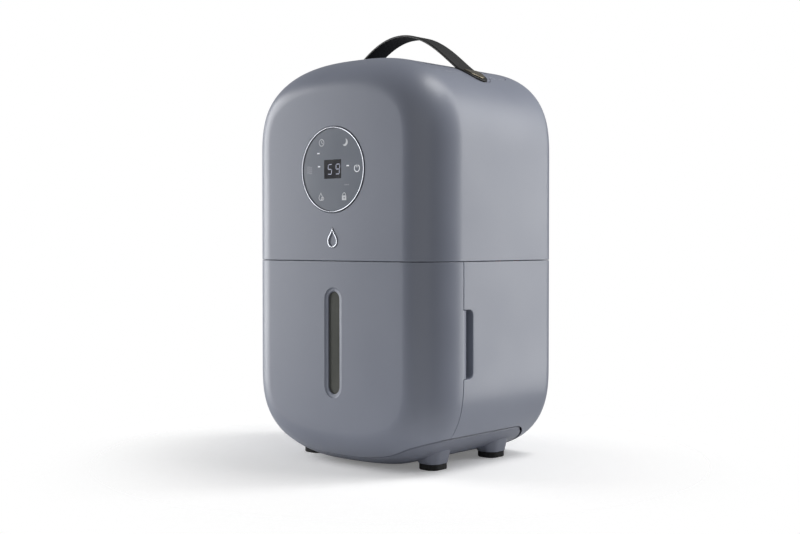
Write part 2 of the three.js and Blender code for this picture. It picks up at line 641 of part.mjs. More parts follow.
const lidBottom = TANK_TOP + FIT;
const lidPlan = roundedRect(2 * tankHalf, TANK_REAR - tankNose, TANK_CORNER, 0, tankMiddle);
const pivotY = TANK_REAR - 12;
const pivotZ = TANK_TOP - FLOAT_PIVOT_DROP;
const lugX = FLOAT_WIDTH / 2 - 4;
let tankLid = raise(lidPlan, [lidBottom, lidBottom + LID_THICK]).intersect(bodyForm(WALL + 1.5))
  .subtract(rod(INLET_RADIUS, 'z', [TANK_TOP - 5, TANK_TOP + 10], [0, INLET_Y]));
for (const side of [-1, 1]) {
  const x = FLOAT_X + side * lugX;
  const lug = block([x - 1.5, x + 1.5], [pivotY - 5, pivotY + 5], [pivotZ - 5, lidBottom + LID_THICK / 2]);
  tankLid = tankLid.add(lug.subtract(rod(2.3, 'x', [x - 5, x + 5], [pivotY, pivotZ], 12)));
}
add('tank_lid', tankLid, INNER_ABS);

const floatRear = pivotY - FLOAT_ARM;
const floatBody = raise(roundedRect(FLOAT_WIDTH, FLOAT_LENGTH, 6, FLOAT_X, floatRear - FLOAT_LENGTH / 2),
  [pivotZ - 34, pivotZ - 14], 4)
  .add(block([FLOAT_X - 4, FLOAT_X + 4], [floatRear - 6, pivotY + 3], [pivotZ - 18, pivotZ - 12]))
  .add(block([FLOAT_X - 4, FLOAT_X + 4], [pivotY - 3, pivotY + 3], [pivotZ - 18, pivotZ + 3]))
  .add(rod(2, 'x', [FLOAT_X - lugX - 3, FLOAT_X + lugX + 3], [pivotY, pivotZ], 12));
add('level_float', floatBody, INNER_ABS);

// ---------------------------------------------------------------- inner frame

const wallAt = [BULKHEAD_Y - BULKHEAD_THICK, BULKHEAD_Y];
const bulkheadHalf = pocketFloor - POCKET_WALL - 1;
add('bulkhead', block([-bulkheadHalf, bulkheadHalf], wallAt, [BASE_RIM_HEIGHT + FIT, SEAM_HEIGHT - 1])
  .intersect(interior), INNER_ABS);

const deckFront = Math.min(FAN_FRONT, INLET_Y) - 16;
const pipeGate = block([COIL_HALF + 5, FAR], [CONDENSER_Y - 18, BACK - 14], [DECK_Z - 20, HIGH]);
const spoutBottom = lidBottom + LID_THICK + 2.5;
let dripTray = block([-FAR, FAR], [deckFront, BACK], [DECK_Z, DECK_TOP])
  .intersect(interior).subtract(pipeGate);
const trayLength = BACK - WALL - 2 - (deckFront + 4);
const trayPlan = (grow) => roundedRect(2 * (COIL_HALF + 2 + grow), trayLength + 2 * grow, 6 + grow, 0,
  deckFront + 4 + trayLength / 2);
dripTray = dripTray.add(raise(trayPlan(0), [DECK_Z + 1, DECK_TOP + DECK_RIM])
  .subtract(raise(trayPlan(-2), [DECK_TOP, DECK_TOP + DECK_RIM + 1])).intersect(interior));
dripTray = dripTray.add(rod(9, 'z', [spoutBottom, DECK_TOP - 1], [0, INLET_Y]))
  .subtract(rod(7, 'z', [spoutBottom - 1, DECK_TOP + 1], [0, INLET_Y]));
add('drip_tray', dripTray, INNER_ABS);

// ---------------------------------------------------------------- coils

// Fin pack seen from above: shallow fins on both faces, carried up over the coil's height.
function finPack(y) {
  const fins = 14, pitch = 2 * COIL_HALF / fins, depth = 3;
  const points = [];
  for (const side of [-1, 1]) {
    for (let i = 0; i < fins; i++) {
      const x = side * (-COIL_HALF + i * pitch);
      const outer = y + side * COIL_THICK / 2, inner = outer - side * depth;
      const half = side * pitch * 0.55;
      points.push([x, outer], [x + half, outer], [x + half, inner], [x + 2 * half / 1.1, inner]);
    }
  }
  const shape = new THREE.Shape(points.map(([x, v]) => new THREE.Vector2(x, v)));
  let pack = raise(shape, [COIL_BOTTOM, COIL_TOP]);
  for (let row = 0; row < COIL_ROWS; row++) {
    const z = COIL_BOTTOM + COIL_PITCH * (row + 0.5);
    pack = pack.subtract(rod(COIL_TUBE_RADIUS + 2 * FIT, 'x', [-FAR, FAR], [y, z], 8));
  }
  return pack;
}

// One tube that runs to and fro through the pack, with half-round bends outside it.
function serpentine(y) {
  const path = new THREE.CurvePath();
  const reach = COIL_HALF + 4;
  const rowZ = (row) => COIL_BOTTOM + COIL_PITCH * (row + 0.5);
  for (let row = 0; row < COIL_ROWS; row++) {
    const side = row % 2 === 0 ? 1 : -1;
    const start = new THREE.Vector3(side * reach, y, rowZ(row));
    const end = new THREE.Vector3(-side * reach, y, rowZ(row));
    path.add(new THREE.LineCurve3(start, end));
    if (row + 1 < COIL_ROWS) {
      const bend = -side * COIL_PITCH / 2;
      for (let step = 0; step < 4; step++) {
        const point = (k) => {
          const a = Math.PI * k / 4;
          const rise = COIL_PITCH / 2 * (1 - Math.cos(a));
          return new THREE.Vector3(end.x + bend * Math.sin(a), y, rowZ(row) + rise);
        };
        path.add(new THREE.LineCurve3(point(step), point(step + 1)));
      }
    }
  }
  return path;
}

// Tube whose rings stand only at the corners of a path of straight lines.
function mitredTube(path, radius, sides = 8) {
  const corners = [path.curves[0].v1, ...path.curves.map((line) => line.v2)];
  const rings = corners.map((corner, i) => {
    const before = i > 0 ? corner.clone().sub(corners[i - 1]).normalize() : null;
    const after = i + 1 < corners.length ? corners[i + 1].clone().sub(corner).normalize() : null;
    const along = (before && after ? before.clone().add(after) : before || after).normalize();
    const side = new THREE.Vector3(0, 1, 0);
    const up = side.clone().cross(along);
    const stretch = before && after ? 1 / along.dot(after) : 1;
    const ring = [];
    for (let k = 0; k < sides; k++) {
      const a = 2 * Math.PI * (k + 0.5) / sides;
      const point = corner.clone().addScaledVector(side, radius * Math.cos(a));
      ring.push(point.addScaledVector(up, radius * stretch * Math.sin(a)).toArray());
    }
    return ring;
  });
  return skin(rings);
}

for (const [name, y] of [['evaporator', EVAPORATOR_Y], ['condenser', CONDENSER_Y]]) {
  add(`${name}_fins`, finPack(y), ALUMINIUM);
  add(`${name}_tube`, mitredTube(serpentine(y), COIL_TUBE_RADIUS), COPPER);
}

// ---------------------------------------------------------------- compressor and pipework

const PORT_RADIUS = 5;

function lathe(points, sides, [x, y]) {
  const profile = points.map(([r, z]) => new THREE.Vector2(r, z));
  return solid(new THREE.LatheGeometry(profile, sides).rotateX(Math.PI / 2).translate(x, y, 0));
}

const canProfile = (wall) => {
  const r = COMPRESSOR_RADIUS - wall;
  const [z0, z1] = [COMPRESSOR_BOTTOM + wall, COMPRESSOR_TOP - wall];
  return [[0, z0], [r * 0.7, z0 + 2], [r, z0 + 14], [r, z1 - 16], [r * 0.72, z1 - 3]];
};
const innerCan = canProfile(COMPRESSOR_WALL).reverse();
const compressorCan = lathe([...canProfile(0), [PORT_RADIUS, COMPRESSOR_TOP],
  [PORT_RADIUS, COMPRESSOR_TOP - COMPRESSOR_WALL], ...innerCan], 28, [COMPRESSOR_X, COMPRESSOR_Y]);
const plateSpan = [COMPRESSOR_BOTTOM - 3, COMPRESSOR_BOTTOM + 1.5];
let footPlate = rod(COMPRESSOR_FOOT - 7, 'z', plateSpan, [COMPRESSOR_X, COMPRESSOR_Y], 20);
for (const at of compressorFeet) footPlate = footPlate.add(rod(9, 'z', plateSpan, at, 16));
add('compressor_shell', compressorCan.add(footPlate), BLACK_STEEL);

compressorFeet.forEach((at, i) => {
  const grommet = rod(7, 'z', [GROMMET_BOTTOM + FIT, plateSpan[0] - FIT], at, 16);
  add(`grommet_${i + 1}`, grommet, RUBBER);
});

const rotorAt = [COMPRESSOR_X, COMPRESSOR_Y];
const crankAt = [COMPRESSOR_X + 4, COMPRESSOR_Y];
const rotor = rod(ROTOR_RADIUS, 'z', [COMPRESSOR_TOP - 88, COMPRESSOR_TOP - 38], rotorAt, 20)
  .add(rod(6, 'z', [COMPRESSOR_BOTTOM + 12, COMPRESSOR_TOP - 28], rotorAt, 12))
  .add(rod(11, 'z', [COMPRESSOR_BOTTOM + 28, COMPRESSOR_BOTTOM + 42], crankAt, 16));
add('compressor_rotor', rotor, STEEL);

const coilPort = COIL_HALF + 4 + FIT;
const rowHeight = (row) => COIL_BOTTOM + COIL_PITCH * (row + 0.5);
const accumulatorX = COMPRESSOR_X + COMPRESSOR_RADIUS + 16;
const accumulator = { bottom: COMPRESSOR_BOTTOM + 30, top: COMPRESSOR_TOP - 40, radius: 13 };
add('accumulator', lathe([[0, accumulator.bottom], [7, accumulator.bottom + 2],
  [accumulator.radius, accumulator.bottom + 10], [accumulator.radius, accumulator.top - 10],
  [7, accumulator.top - 2], [0, accumulator.top]], 16, [accumulatorX, COMPRESSOR_Y]), BLACK_STEEL);

add('suction_pipe', tube([
  [coilPort, EVAPORATOR_Y, rowHeight(0)],
  [coilPort + 4, EVAPORATOR_Y, rowHeight(0)],
  [coilPort + 9, EVAPORATOR_Y - 3, rowHeight(0) - 9],
  [coilPort + 8, EVAPORATOR_Y - 8, DECK_Z - 6],
  [accumulatorX, COMPRESSOR_Y, accumulator.top + 22],
  [accumulatorX, COMPRESSOR_Y, accumulator.top + FIT],
], 3.5, 16, 6), COPPER);
const riserY = CONDENSER_Y - 12;
add('discharge_pipe', tube([
  [COMPRESSOR_X, COMPRESSOR_Y, COMPRESSOR_TOP - 1],
  [COMPRESSOR_X, COMPRESSOR_Y, COMPRESSOR_TOP + 7],
  [COMPRESSOR_X + 12, COMPRESSOR_Y - 3, COMPRESSOR_TOP + 14],
  [coilPort + 6, riserY, DECK_Z - 12],
  [coilPort + 7, riserY, DECK_TOP + 10],
  [coilPort + 7, riserY, rowHeight(3)],
  [coilPort + 7, riserY, rowHeight(5) - 12],
  [coilPort + 7, CONDENSER_Y - 6, rowHeight(5) - 2],
  [coilPort + 4, CONDENSER_Y, rowHeight(5)],
  [coilPort, CONDENSER_Y, rowHeight(5)],
], 3, 30, 6), COPPER);
const drierY = (CONDENSER_Y + EVAPORATOR_Y) / 2;
add('filter_drier', rod(5, 'z', [rowHeight(1), rowHeight(3)], [coilPort + 4, drierY], 12), COPPER);
add('capillary_tube', tube([
  [coilPort + 4, drierY, rowHeight(3) + FIT],
  [coilPort + 4, drierY, rowHeight(4)],
  [coilPort + 8, EVAPORATOR_Y - 4, rowHeight(5) - 9],
  [coilPort + 4, EVAPORATOR_Y, rowHeight(5)],
  [coilPort, EVAPORATOR_Y, rowHeight(5)],
], 1.6, 14, 6), COPPER);
add('liquid_pipe', tube([
  [coilPort, CONDENSER_Y, rowHeight(0)],
  [coilPort + 3, CONDENSER_Y, rowHeight(0)],
  [coilPort + 4, drierY - 4, rowHeight(0) + 5],
  [coilPort + 4, drierY, rowHeight(1) - 6],
  [coilPort + 4, drierY, rowHeight(1) - FIT],
], 2.5, 12, 6), COPPER);

// ---------------------------------------------------------------- fan

const scrollPlan = (wall) => {
  const r = SCROLL_RADIUS - wall;
  const mouth = BODY_HEIGHT - FAN_TOP_ROOM + 4;
  const shape = new THREE.Shape();
  shape.moveTo(-r, FAN_Z);
  shape.absarc(0, FAN_Z, r, Math.PI, 2 * Math.PI, false);
  shape.absarc(0, FAN_Z, r, 0, Math.PI / 3, false);
  shape.lineTo(r * 0.5, mouth + wall);
  shape.lineTo(-r, mouth + wall);
  return shape;
};
const scrollWall = 2;
const scroll = carry(scrollPlan(0), [FAN_FRONT, FAN_BACK], 14)
  .subtract(carry(scrollPlan(scrollWall), [FAN_FRONT + scrollWall, FAN_BACK - scrollWall], 14))
  .subtract(rod(IMPELLER_RADIUS * 0.74, 'y', [FAN_BACK - 5, FAN_BACK + 5], [0, FAN_Z], 24))
  .subtract(rod(MOTOR_RADIUS * 0.5, 'y', [FAN_FRONT - 5, FAN_FRONT + 5], [0, FAN_Z], 24))
  .intersect(bodyForm(WALL + 4));
add('fan_scroll', scroll, DARK_ABS);

const motorBack = FAN_FRONT - FIT;
add('fan_motor', rod(MOTOR_RADIUS, 'y', [motorBack - MOTOR_LENGTH, motorBack], [0, FAN_Z], 28)
  .subtract(rod(SHAFT_RADIUS + FIT, 'y', [motorBack - 12, motorBack + 1], [0, FAN_Z], 12)), STEEL);

const wheelFront = FAN_FRONT + scrollWall + 3;
const wheelBack = FAN_BACK - scrollWall - 3;
let impeller = rod(IMPELLER_RADIUS, 'y', [wheelFront, wheelFront + 2], [0, FAN_Z], 32)
  .add(rod(10, 'y', [wheelFront, wheelFront + 16], [0, FAN_Z], 16))
  .add(rod(SHAFT_RADIUS, 'y', [motorBack - 11, wheelFront + 1], [0, FAN_Z], 12));
for (let i = 0; i < BLADES; i++) {
  const blade = new THREE.BoxGeometry(11, wheelBack - wheelFront - 1, 1.4);
  blade.rotateY(BLADE_LEAN).translate(IMPELLER_RADIUS - 7, 0, 0);
  blade.rotateY(2 * Math.PI * i / BLADES).translate(0, (wheelFront + 1 + wheelBack) / 2, FAN_Z);
  impeller = impeller.add(solid(blade));
}
const rim = rod(IMPELLER_RADIUS - 1, 'y', [wheelBack - 3, wheelBack], [0, FAN_Z], 32)
  .subtract(rod(IMPELLER_RADIUS - 12, 'y', [wheelBack - 4, wheelBack + 1], [0, FAN_Z], 32));
add('impeller', impeller.add(rim), DARK_ABS);

// ---------------------------------------------------------------- electronics

const boxX = [-HALF_WIDTH + 24, COMPRESSOR_X - COMPRESSOR_RADIUS - 10];
const boxY = [BULKHEAD_Y + 6, BACK - WALL - 24];
const boxZ = [BASE_RIM_HEIGHT + 12, SEAM_HEIGHT - 22];
const inside = (range, by) => [range[0] + by, range[1] - by];
add('electronics_box', block(boxX, boxY, boxZ)
  .subtract(block(inside(boxX, 2), [boxY[0] + 2, boxY[1] + 5], inside(boxZ, 2))), INNER_ABS);
const boardY = [boxY[0] + 10, boxY[0] + 10 + PCB_THICK];
add('power_board', block(inside(boxX, 6), boardY, inside(boxZ, 6)), BOARD);
const boxMiddle = (boxX[0] + boxX[1]) / 2;
add('run_capacitor', rod(14, 'z', [boxZ[0] + 12, boxZ[0] + 72],
  [boxMiddle + 16, boardY[1] + FIT + 15], 20), ALUMINIUM);
add('transformer', block([boxMiddle - 32, boxMiddle - 4], [boardY[1] + FIT, boardY[1] + 26],
  [boxZ[1] - 54, boxZ[1] - 22]), BLACK_STEEL);
add('humidity_sensor', block([-COIL_HALF - 14, -COIL_HALF - 6], [EVAPORATOR_BACK - 4, EVAPORATOR_BACK + 2],
  [COIL_BOTTOM + 60, COIL_BOTTOM + 80]), BOARD);
add('level_sensor', block([FLOAT_X - 8, FLOAT_X + 8], [BULKHEAD_Y + FIT, BULKHEAD_Y + 4],
  [pivotZ - 14, pivotZ + 4]).subtract(rod(SCREW_RADIUS, 'y', [BULKHEAD_Y - 5, BULKHEAD_Y + 9],
  [FLOAT_X, pivotZ - 5], 10)), BLACK_STEEL);

// ---------------------------------------------------------------- back of the machine

const filterFront = BACK - WALL - GRILLE_DEPTH + 2.3;
let rearGrille = carry(rearWindow(SEAM_GAP), [filterFront, BACK + PROUD])
  .subtract(carry(rearWindow(SEAM_GAP + 2.2), [filterFront - 1, BACK - 2]));
const louvreHalf = rearOpening.width / 2 - 12;
const louvreCount = Math.floor((rearOpening.top - rearOpening.bottom - 24) / SLOT_PITCH) + 1;
for (let i = 0; i < louvreCount; i++) {
  const height = rearOpening.bottom + 12 + i * SLOT_PITCH;
  const slot = roundedRect(2 * louvreHalf, SLOT_WIDTH, SLOT_WIDTH / 2, 0, height);
  rearGrille = rearGrille.subtract(carry(slot, [BACK - 5, BACK + 5], 1));
}
add('rear_grille', rearGrille, GREY_ABS);
add('filter_mesh', carry(rearWindow(SEAM_GAP + 2.2 + FIT), [filterFront + 1, filterFront + 2.5]), FOAM);

const drainAt = [DRAIN.x, DRAIN.z];
const spoutEnd = BACK - 0.5;
add('drain_spout', rod(DRAIN.radius, 'y', [BACK - 24, spoutEnd], drainAt)
  .subtract(rod(DRAIN.radius - 2, 'y', [BACK - 25, BACK + 1], drainAt)), INNER_ABS);
add('drain_plug', rod(DRAIN.radius - 2 - FIT, 'y', [BACK - 14, BACK + PROUD], drainAt)
  .add(rod(DRAIN.radius, 'y', [spoutEnd + FIT, BACK + PROUD], drainAt)), RUBBER);
add('cord_gland', rod(GLAND.radius, 'y', [BACK - WALL - 4, BACK + PROUD], [GLAND.x, GLAND.z])
  .subtract(rod(3.4, 'y', [BACK - 15, BACK + 2], [GLAND.x, GLAND.z], 16)), RUBBER);

export default group;
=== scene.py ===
"""Looks of a portable dehumidifier: grey body, round touch panel, pull-out tank, leather strap."""

import json
from math import copysign, cos, hypot, pi, radians, sin

import bmesh
import bpy
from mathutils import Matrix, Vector


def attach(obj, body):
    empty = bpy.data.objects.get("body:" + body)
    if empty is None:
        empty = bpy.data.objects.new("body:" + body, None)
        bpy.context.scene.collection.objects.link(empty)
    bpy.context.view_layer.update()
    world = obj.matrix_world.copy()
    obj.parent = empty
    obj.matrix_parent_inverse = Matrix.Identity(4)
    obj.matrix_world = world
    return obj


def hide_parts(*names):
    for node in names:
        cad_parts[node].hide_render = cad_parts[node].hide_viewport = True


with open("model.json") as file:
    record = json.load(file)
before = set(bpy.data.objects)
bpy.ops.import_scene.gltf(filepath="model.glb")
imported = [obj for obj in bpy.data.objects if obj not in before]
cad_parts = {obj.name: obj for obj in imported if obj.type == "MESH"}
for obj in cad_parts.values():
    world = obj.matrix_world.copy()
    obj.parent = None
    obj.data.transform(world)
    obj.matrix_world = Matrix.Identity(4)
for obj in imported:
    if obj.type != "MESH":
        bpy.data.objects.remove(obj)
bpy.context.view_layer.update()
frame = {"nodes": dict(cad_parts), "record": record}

# ---------------------------------------------------------------- sizes, in millimetres

MM = 0.001
HALF_WIDTH = 130.5
FRONT, BACK = -105.5, 105.5
ARCH_RISE, ARCH_POWER = 98.8, 2.7
UPPER_CENTRE, LOWER_CENTRE = 323.2, 98.8
FRONT_ROUND_ACROSS, FRONT_ROUND_DEEP, REAR_ROUND = 38.0, 49.0, 16.0
SHELL_ROWS, CAP_MARGIN = (-32, -8, 16, 40, 64), 8
WALL, SEAM_GAP, FIT, PROUD, BASE_REVEAL = 3.0, 0.5, 0.3, 0.6, 2.0
SEAM_Z, TANK_SEAM_Y = 212.0, -55.0
BEYOND, ABOVE = 5, 480.0
DISC_Z, DISC_RADIUS, RING_WIDTH = 305.5, 43.9, 1.5
PANEL_FACE = FRONT + 0.3
BADGE_TALL, BADGE_BAND, BADGE_RISE = 21.5, 2.0, 24
STRAP_Y, STRAP_TIP, STRAP_HALF, STRAP_THICK = 13.5, 104.0, 13.75, 2.6
STRAP_REACH, STRAP_LIFT, STRAP_SEAT = 82.5, 31.5, 1.2
PLATE_MARGIN, PLATE_START, PLATE_THICK = 3.2, 85, 1.1
INSERT_HALF_WIDTH, INSERT_HALF_DEPTH, INSERT_CORNER, INSERT_CENTRE = 92.5, 69.5, 14, (0.0, 6.0)
EAR_X, EAR_RADIUS = 76.4, 28.0
SLOT_HALF, LOUVRE_HALF, SLOT_RADIUS, SLOT_PITCH = 78.5, 80.5, 2.5, 10
SLOT_FIRST_Y, SLOT_COUNT, LOUVRE_FIRST_Z, LOUVRE_COUNT = -47.5, 11, 238, 13
POCKET_Z, POCKET_HALF, POCKET_BACK, POCKET_FLOOR = 129.75, 34.45, -39.7, 118.5
POCKET_HALF_DEEP, POCKET_CORNER = 13.65, 6
LIP_ROOT, LIP_REACH = (127.5, -56.2), (2.98, 7.9)
LIP_HEEL = [(120.0, -48.3), (120.0, -57.6), (129.0, -57.6)]
WINDOW_Z, WINDOW_HALF, WINDOW_TALL, WINDOW_RECESS, PANE_MARGIN = 128.05, 8.0, 52.75, 3.7, 3
BASE_HALF_WIDTH, BASE_HALF_DEPTH, BASE_CORNER = 112, 89.5, 32
BASE_BLOCK = [(-10, 0), (68, 0)]
PAD_HALF_WIDTH, PAD_HALF_DEPTH, PAD_CORNER, PAD_TALL = 12, 13.5, 9, 6
BOSS_MARGIN, BOSS_FLARE, BOSS_LEAN = 0.75, 6.25, 3
REAR_Z, REAR_HALF, REAR_TALL, REAR_CORNER = 300.0, 92.5, 74.0, 10
BUCKET_HALF_WIDTH, BUCKET_HALF_DEPTH, BUCKET_CORNER, BUCKET_CENTRE = 102.5, 46.6, 18, (0, -52.6)
BUCKET_FLOOR, BUCKET_TOP, BUCKET_WALL, BUCKET_CLEAR = 38, 200, 2.2, 4.5
DRAIN_AT, DRAIN_RADIUS = (-65.25, 62.0), 9.0
GLAND_AT, GLAND_RADIUS = (65.25, 56.0), 7.0
FEET = {
    "front_left": (-82.0, -43.5),
    "front_right": (82.0, -43.5),
    "rear_left": (-82.0, 55.5),
    "rear_right": (82.0, 55.5),
}
# Points nearer than this are one point; an edge shorter than this is none.
SAME_POINT, TINY_EDGE, CAD_WELD = 0.002, 0.004, 0.01
# Steps round a quarter of the body's rounded edge, outside and on the hidden inside.
EDGE_STEPS, INNER_STEPS = 28, 14
# Pitch of the woven net and of the fin stack as drawn, and the wave texture's own rate.
NET_PITCH, FIN_PITCH, WAVE_RATE = 7.5398, 11.3097, 20

# ---------------------------------------------------------------- materials


def linear(code):
    """An sRGB hex colour as the linear colour that a shader takes."""
    parts = [int(code[i : i + 2], 16) / 255 for i in (1, 3, 5)]
    return (*[p / 12.92 if p <= 0.04045 else ((p + 0.055) / 1.055) ** 2.4 for p in parts], 1.0)


def add(tree, kind, inputs=None, **settings):
    """Adds a node. Each input is a value or another node's output."""
    node = tree.nodes.new(kind)
    for name, value in settings.items():
        setattr(node, name, value)
    for key, value in (inputs or {}).items():
        if isinstance(value, bpy.types.NodeSocket):
            tree.links.new(value, node.inputs[key])
        else:
            node.inputs[key].default_value = value
    return node


def blank_finish(name, **sockets):
    """A material with one surface shader; values that are even all over go on its own sockets."""
    made = bpy.data.materials.new(name)
    made.use_nodes = True
    tree = made.node_tree
    tree.nodes.clear()
    even = {key.replace("_", " "): value for key, value in sockets.items()}
    surface = add(tree, "ShaderNodeBsdfPrincipled", even)
    add(tree, "ShaderNodeOutputMaterial", {"Surface": surface.outputs["BSDF"]})
    return made, tree, surface


def finish(name, colours, cloud, roughness, grain, stretch=(1.0, 1.0, 1.0), **sockets):
    """A finish whose colour and gloss drift over `cloud` mm; its grain is (size, depth) in mm."""
    made, tree, surface = blank_finish(name, **sockets)
    place = add(tree, "ShaderNodeTexCoord").outputs["Object"]
    drift = add(tree, "ShaderNodeTexNoise", {"Vector": place, "Scale": 1000 / cloud, "Detail": 4.0})
    tone = add(
        tree,
        "ShaderNodeMix",
        {0: drift.outputs["Fac"], 6: linear(colours[0]), 7: linear(colours[1])},
        data_type="RGBA",
    )
    tree.links.new(tone.outputs[2], surface.inputs["Base Color"])
    gloss = add(
        tree,
        "ShaderNodeMapRange",
        {
            "Value": drift.outputs["Fac"],
            "From Min": 0.3,
            "From Max": 0.7,
            "To Min": roughness[0],
            "To Max": roughness[1],
        },
    )
    tree.links.new(gloss.outputs["Result"], surface.inputs["Roughness"])
    drawn = add(tree, "ShaderNodeMapping", {"Vector": place, "Scale": stretch})
    pits = add(
        tree,
        "ShaderNodeTexNoise",
        {"Vector": drawn.outputs["Vector"], "Scale": 1000 / grain[0], "Detail": 3.0},
    )
    raised = add(
        tree,
        "ShaderNodeBump",
        {"Height": pits.outputs["Fac"], "Distance": grain[1] * MM, "Strength": 1.0},
    )
    tree.links.new(raised.outputs["Normal"], surface.inputs["Normal"])
    return made


def leather_finish():
    """Black pigmented cowhide, embossed: pebbles 1.1 mm across, duller in creases, with painted
    shade darkening the creases.
    """
    made, tree, surface = blank_finish("leather_black_embossed", Specular_IOR_Level=0.35)
    place = add(tree, "ShaderNodeTexCoord").outputs["Object"]
    warp = add(tree, "ShaderNodeTexNoise", {"Vector": place, "Scale": 350.0, "Detail": 2.0})
    bent = add(
        tree, "ShaderNodeMix", {0: 0.0015, 4: place, 5: warp.outputs["Color"]}, data_type="VECTOR"
    )
    pebbles = add(
        tree,
        "ShaderNodeTexVoronoi",
        {"Vector": bent.outputs[1], "Scale": 900.0},
        feature="SMOOTH_F1",
    )
    fine = add(tree, "ShaderNodeTexNoise", {"Vector": place, "Scale": 2600.0, "Detail": 3.0})
    height = add(
        tree,
        "ShaderNodeMath",
        {0: pebbles.outputs["Distance"], 1: fine.outputs["Fac"]},
        operation="ADD",
    )
    # Painted shade: the colour darkens towards the creases between pebbles, where shade falls.
    tone = add(
        tree,
        "ShaderNodeMix",
        {0: pebbles.outputs["Distance"], 6: linear("#0f1012"), 7: linear("#050506")},
        data_type="RGBA",
    )
    tree.links.new(tone.outputs[2], surface.inputs["Base Color"])
    gloss = add(
        tree,
        "ShaderNodeMapRange",
        {
            "Value": pebbles.outputs["Distance"],
            "From Min": 0.0,
            "From Max": 0.7,
            "To Min": 0.46,
            "To Max": 0.68,
        },
    )
    tree.links.new(gloss.outputs["Result"], surface.inputs["Roughness"])
    raised = add(
        tree,
        "ShaderNodeBump",
        {"Height": height.outputs["Value"], "Distance": 0.09 * MM, "Strength": 1.0},
        invert=True,
    )
    tree.links.new(raised.outputs["Normal"], surface.inputs["Normal"])
    return made


def woven_finish():
    """Black polyester filter net, woven: drawn 7.5 mm apart, far coarser than the real threads,
    with painted highlights on the raised threads and painted shade between them.
    """
    made, tree, surface = blank_finish("filter_net_woven", Sheen_Weight=0.2)
    place = add(tree, "ShaderNodeTexCoord").outputs["Object"]
    weave = 2000 * pi / NET_PITCH / WAVE_RATE
    warp = add(tree, "ShaderNodeTexWave", {"Vector": place, "Scale": weave}, bands_direction="X")
    weft = add(tree, "ShaderNodeTexWave", {"Vector": place, "Scale": weave}, bands_direction="Z")
    height = add(
        tree,
        "ShaderNodeMath",
        {0: warp.outputs["Fac"], 1: weft.outputs["Fac"]},
        operation="MAXIMUM",
    )
    # Painted highlight on the raised threads and painted shade between them: the colour follows the
    # weave's height.
    tone = add(
        tree,
        "ShaderNodeMix",
        {0: height.outputs["Value"], 6: linear("#0c0c0e"), 7: linear("#4b4e54")},
        data_type="RGBA",
    )
    tree.links.new(tone.outputs[2], surface.inputs["Base Color"])
    surface.inputs["Roughness"].default_value = 0.7
    raised = add(tree, "ShaderNodeBump", {"Height": height.outputs["Value"], "Distance": 0.3 * MM})
    tree.links.new(raised.outputs["Normal"], surface.inputs["Normal"])
    return made


def fin_finish():
    """Aluminium fins, stacked: edges drawn 11.3 mm apart with painted highlights on them and
    painted shade between, far coarser than the real ones.
    """
    made, tree, surface = blank_finish("aluminium_fin_stack", Metallic=1.0)
    place = add(tree, "ShaderNodeTexCoord").outputs["Object"]
    rate = 2000 * pi / FIN_PITCH / WAVE_RATE
    edges = add(
        tree,
        "ShaderNodeTexWave",
        {"Vector": place, "Scale": rate, "Distortion": 0.4},
        bands_direction="X",
    )
    # Painted highlight on the fin edges and painted shade in the gaps between the fins.
    tone = add(
        tree,
        "ShaderNodeMix",
        {0: edges.outputs["Fac"], 6: linear("#3a3d40"), 7: linear("#d9dcdf")},
        data_type="RGBA",
    )
    tree.links.new(tone.outputs[2], surface.inputs["Base Color"])
    drift = add(tree, "ShaderNodeTexNoise", {"Vector": place, "Scale": 60.0})
    gloss = add(
        tree, "ShaderNodeMapRange", {"Value": drift.outputs["Fac"], "To Min": 0.25, "To Max": 0.5}
    )
    tree.links.new(gloss.outputs["Result"], surface.inputs["Roughness"])
    raised = add(tree, "ShaderNodeBump", {"Height": edges.outputs["Fac"], "Distance": 0.5 * MM})
    tree.links.new(raised.outputs["Normal"], surface.inputs["Normal"])
    return made


def board_finish():
    """Glass-fibre board under green solder resist: paler tracks a millimetre wide round islands."""
    made, tree, surface = blank_finish("circuit_board_resist", Coat_Weight=0.4)
    place = add(tree, "ShaderNodeTexCoord").outputs["Object"]
    islands = add(
        tree,
        "ShaderNodeTexVoronoi",
        {"Vector": place, "Scale": 160.0},
        distance="MANHATTAN",
        feature="DISTANCE_TO_EDGE",
    )
    tracks = add(
        tree,
        "ShaderNodeMapRange",
        {"Value": islands.outputs["Distance"], "From Min": 0.06, "From Max": 0.1},
    )
    tone = add(
        tree,
        "ShaderNodeMix",
        {0: tracks.outputs["Result"], 6: linear("#4f9a62"), 7: linear("#17452b")},
        data_type="RGBA",
    )
    tree.links.new(tone.outputs[2], surface.inputs["Base Color"])
    surface.inputs["Roughness"].default_value = 0.4
    raised = add(
        tree,
        "ShaderNodeBump",
        {"Height": tracks.outputs["Result"], "Distance": 0.05 * MM},
        invert=True,
    )
    tree.links.new(raised.outputs["Normal"], surface.inputs["Normal"])
    return made


def lit_finish(name, colour, strength):
    """A lamp behind a clear print: the light falls off a little from spot to spot."""
    made, tree, surface = blank_finish(name, Roughness=0.3, Emission_Strength=strength)
    place = add(tree, "ShaderNodeTexCoord").outputs["Object"]
    drift = add(tree, "ShaderNodeTexNoise", {"Vector": place, "Scale": 400.0})
    tone = add(
        tree,
        "ShaderNodeMix",
        {0: drift.outputs["Fac"], 6: linear(colour[0]), 7: linear(colour[1])},
        data_type="RGBA",
    )
    tree.links.new(tone.outputs[2], surface.inputs["Base Color"])
    tree.links.new(tone.outputs[2], surface.inputs["Emission Color"])
    return made


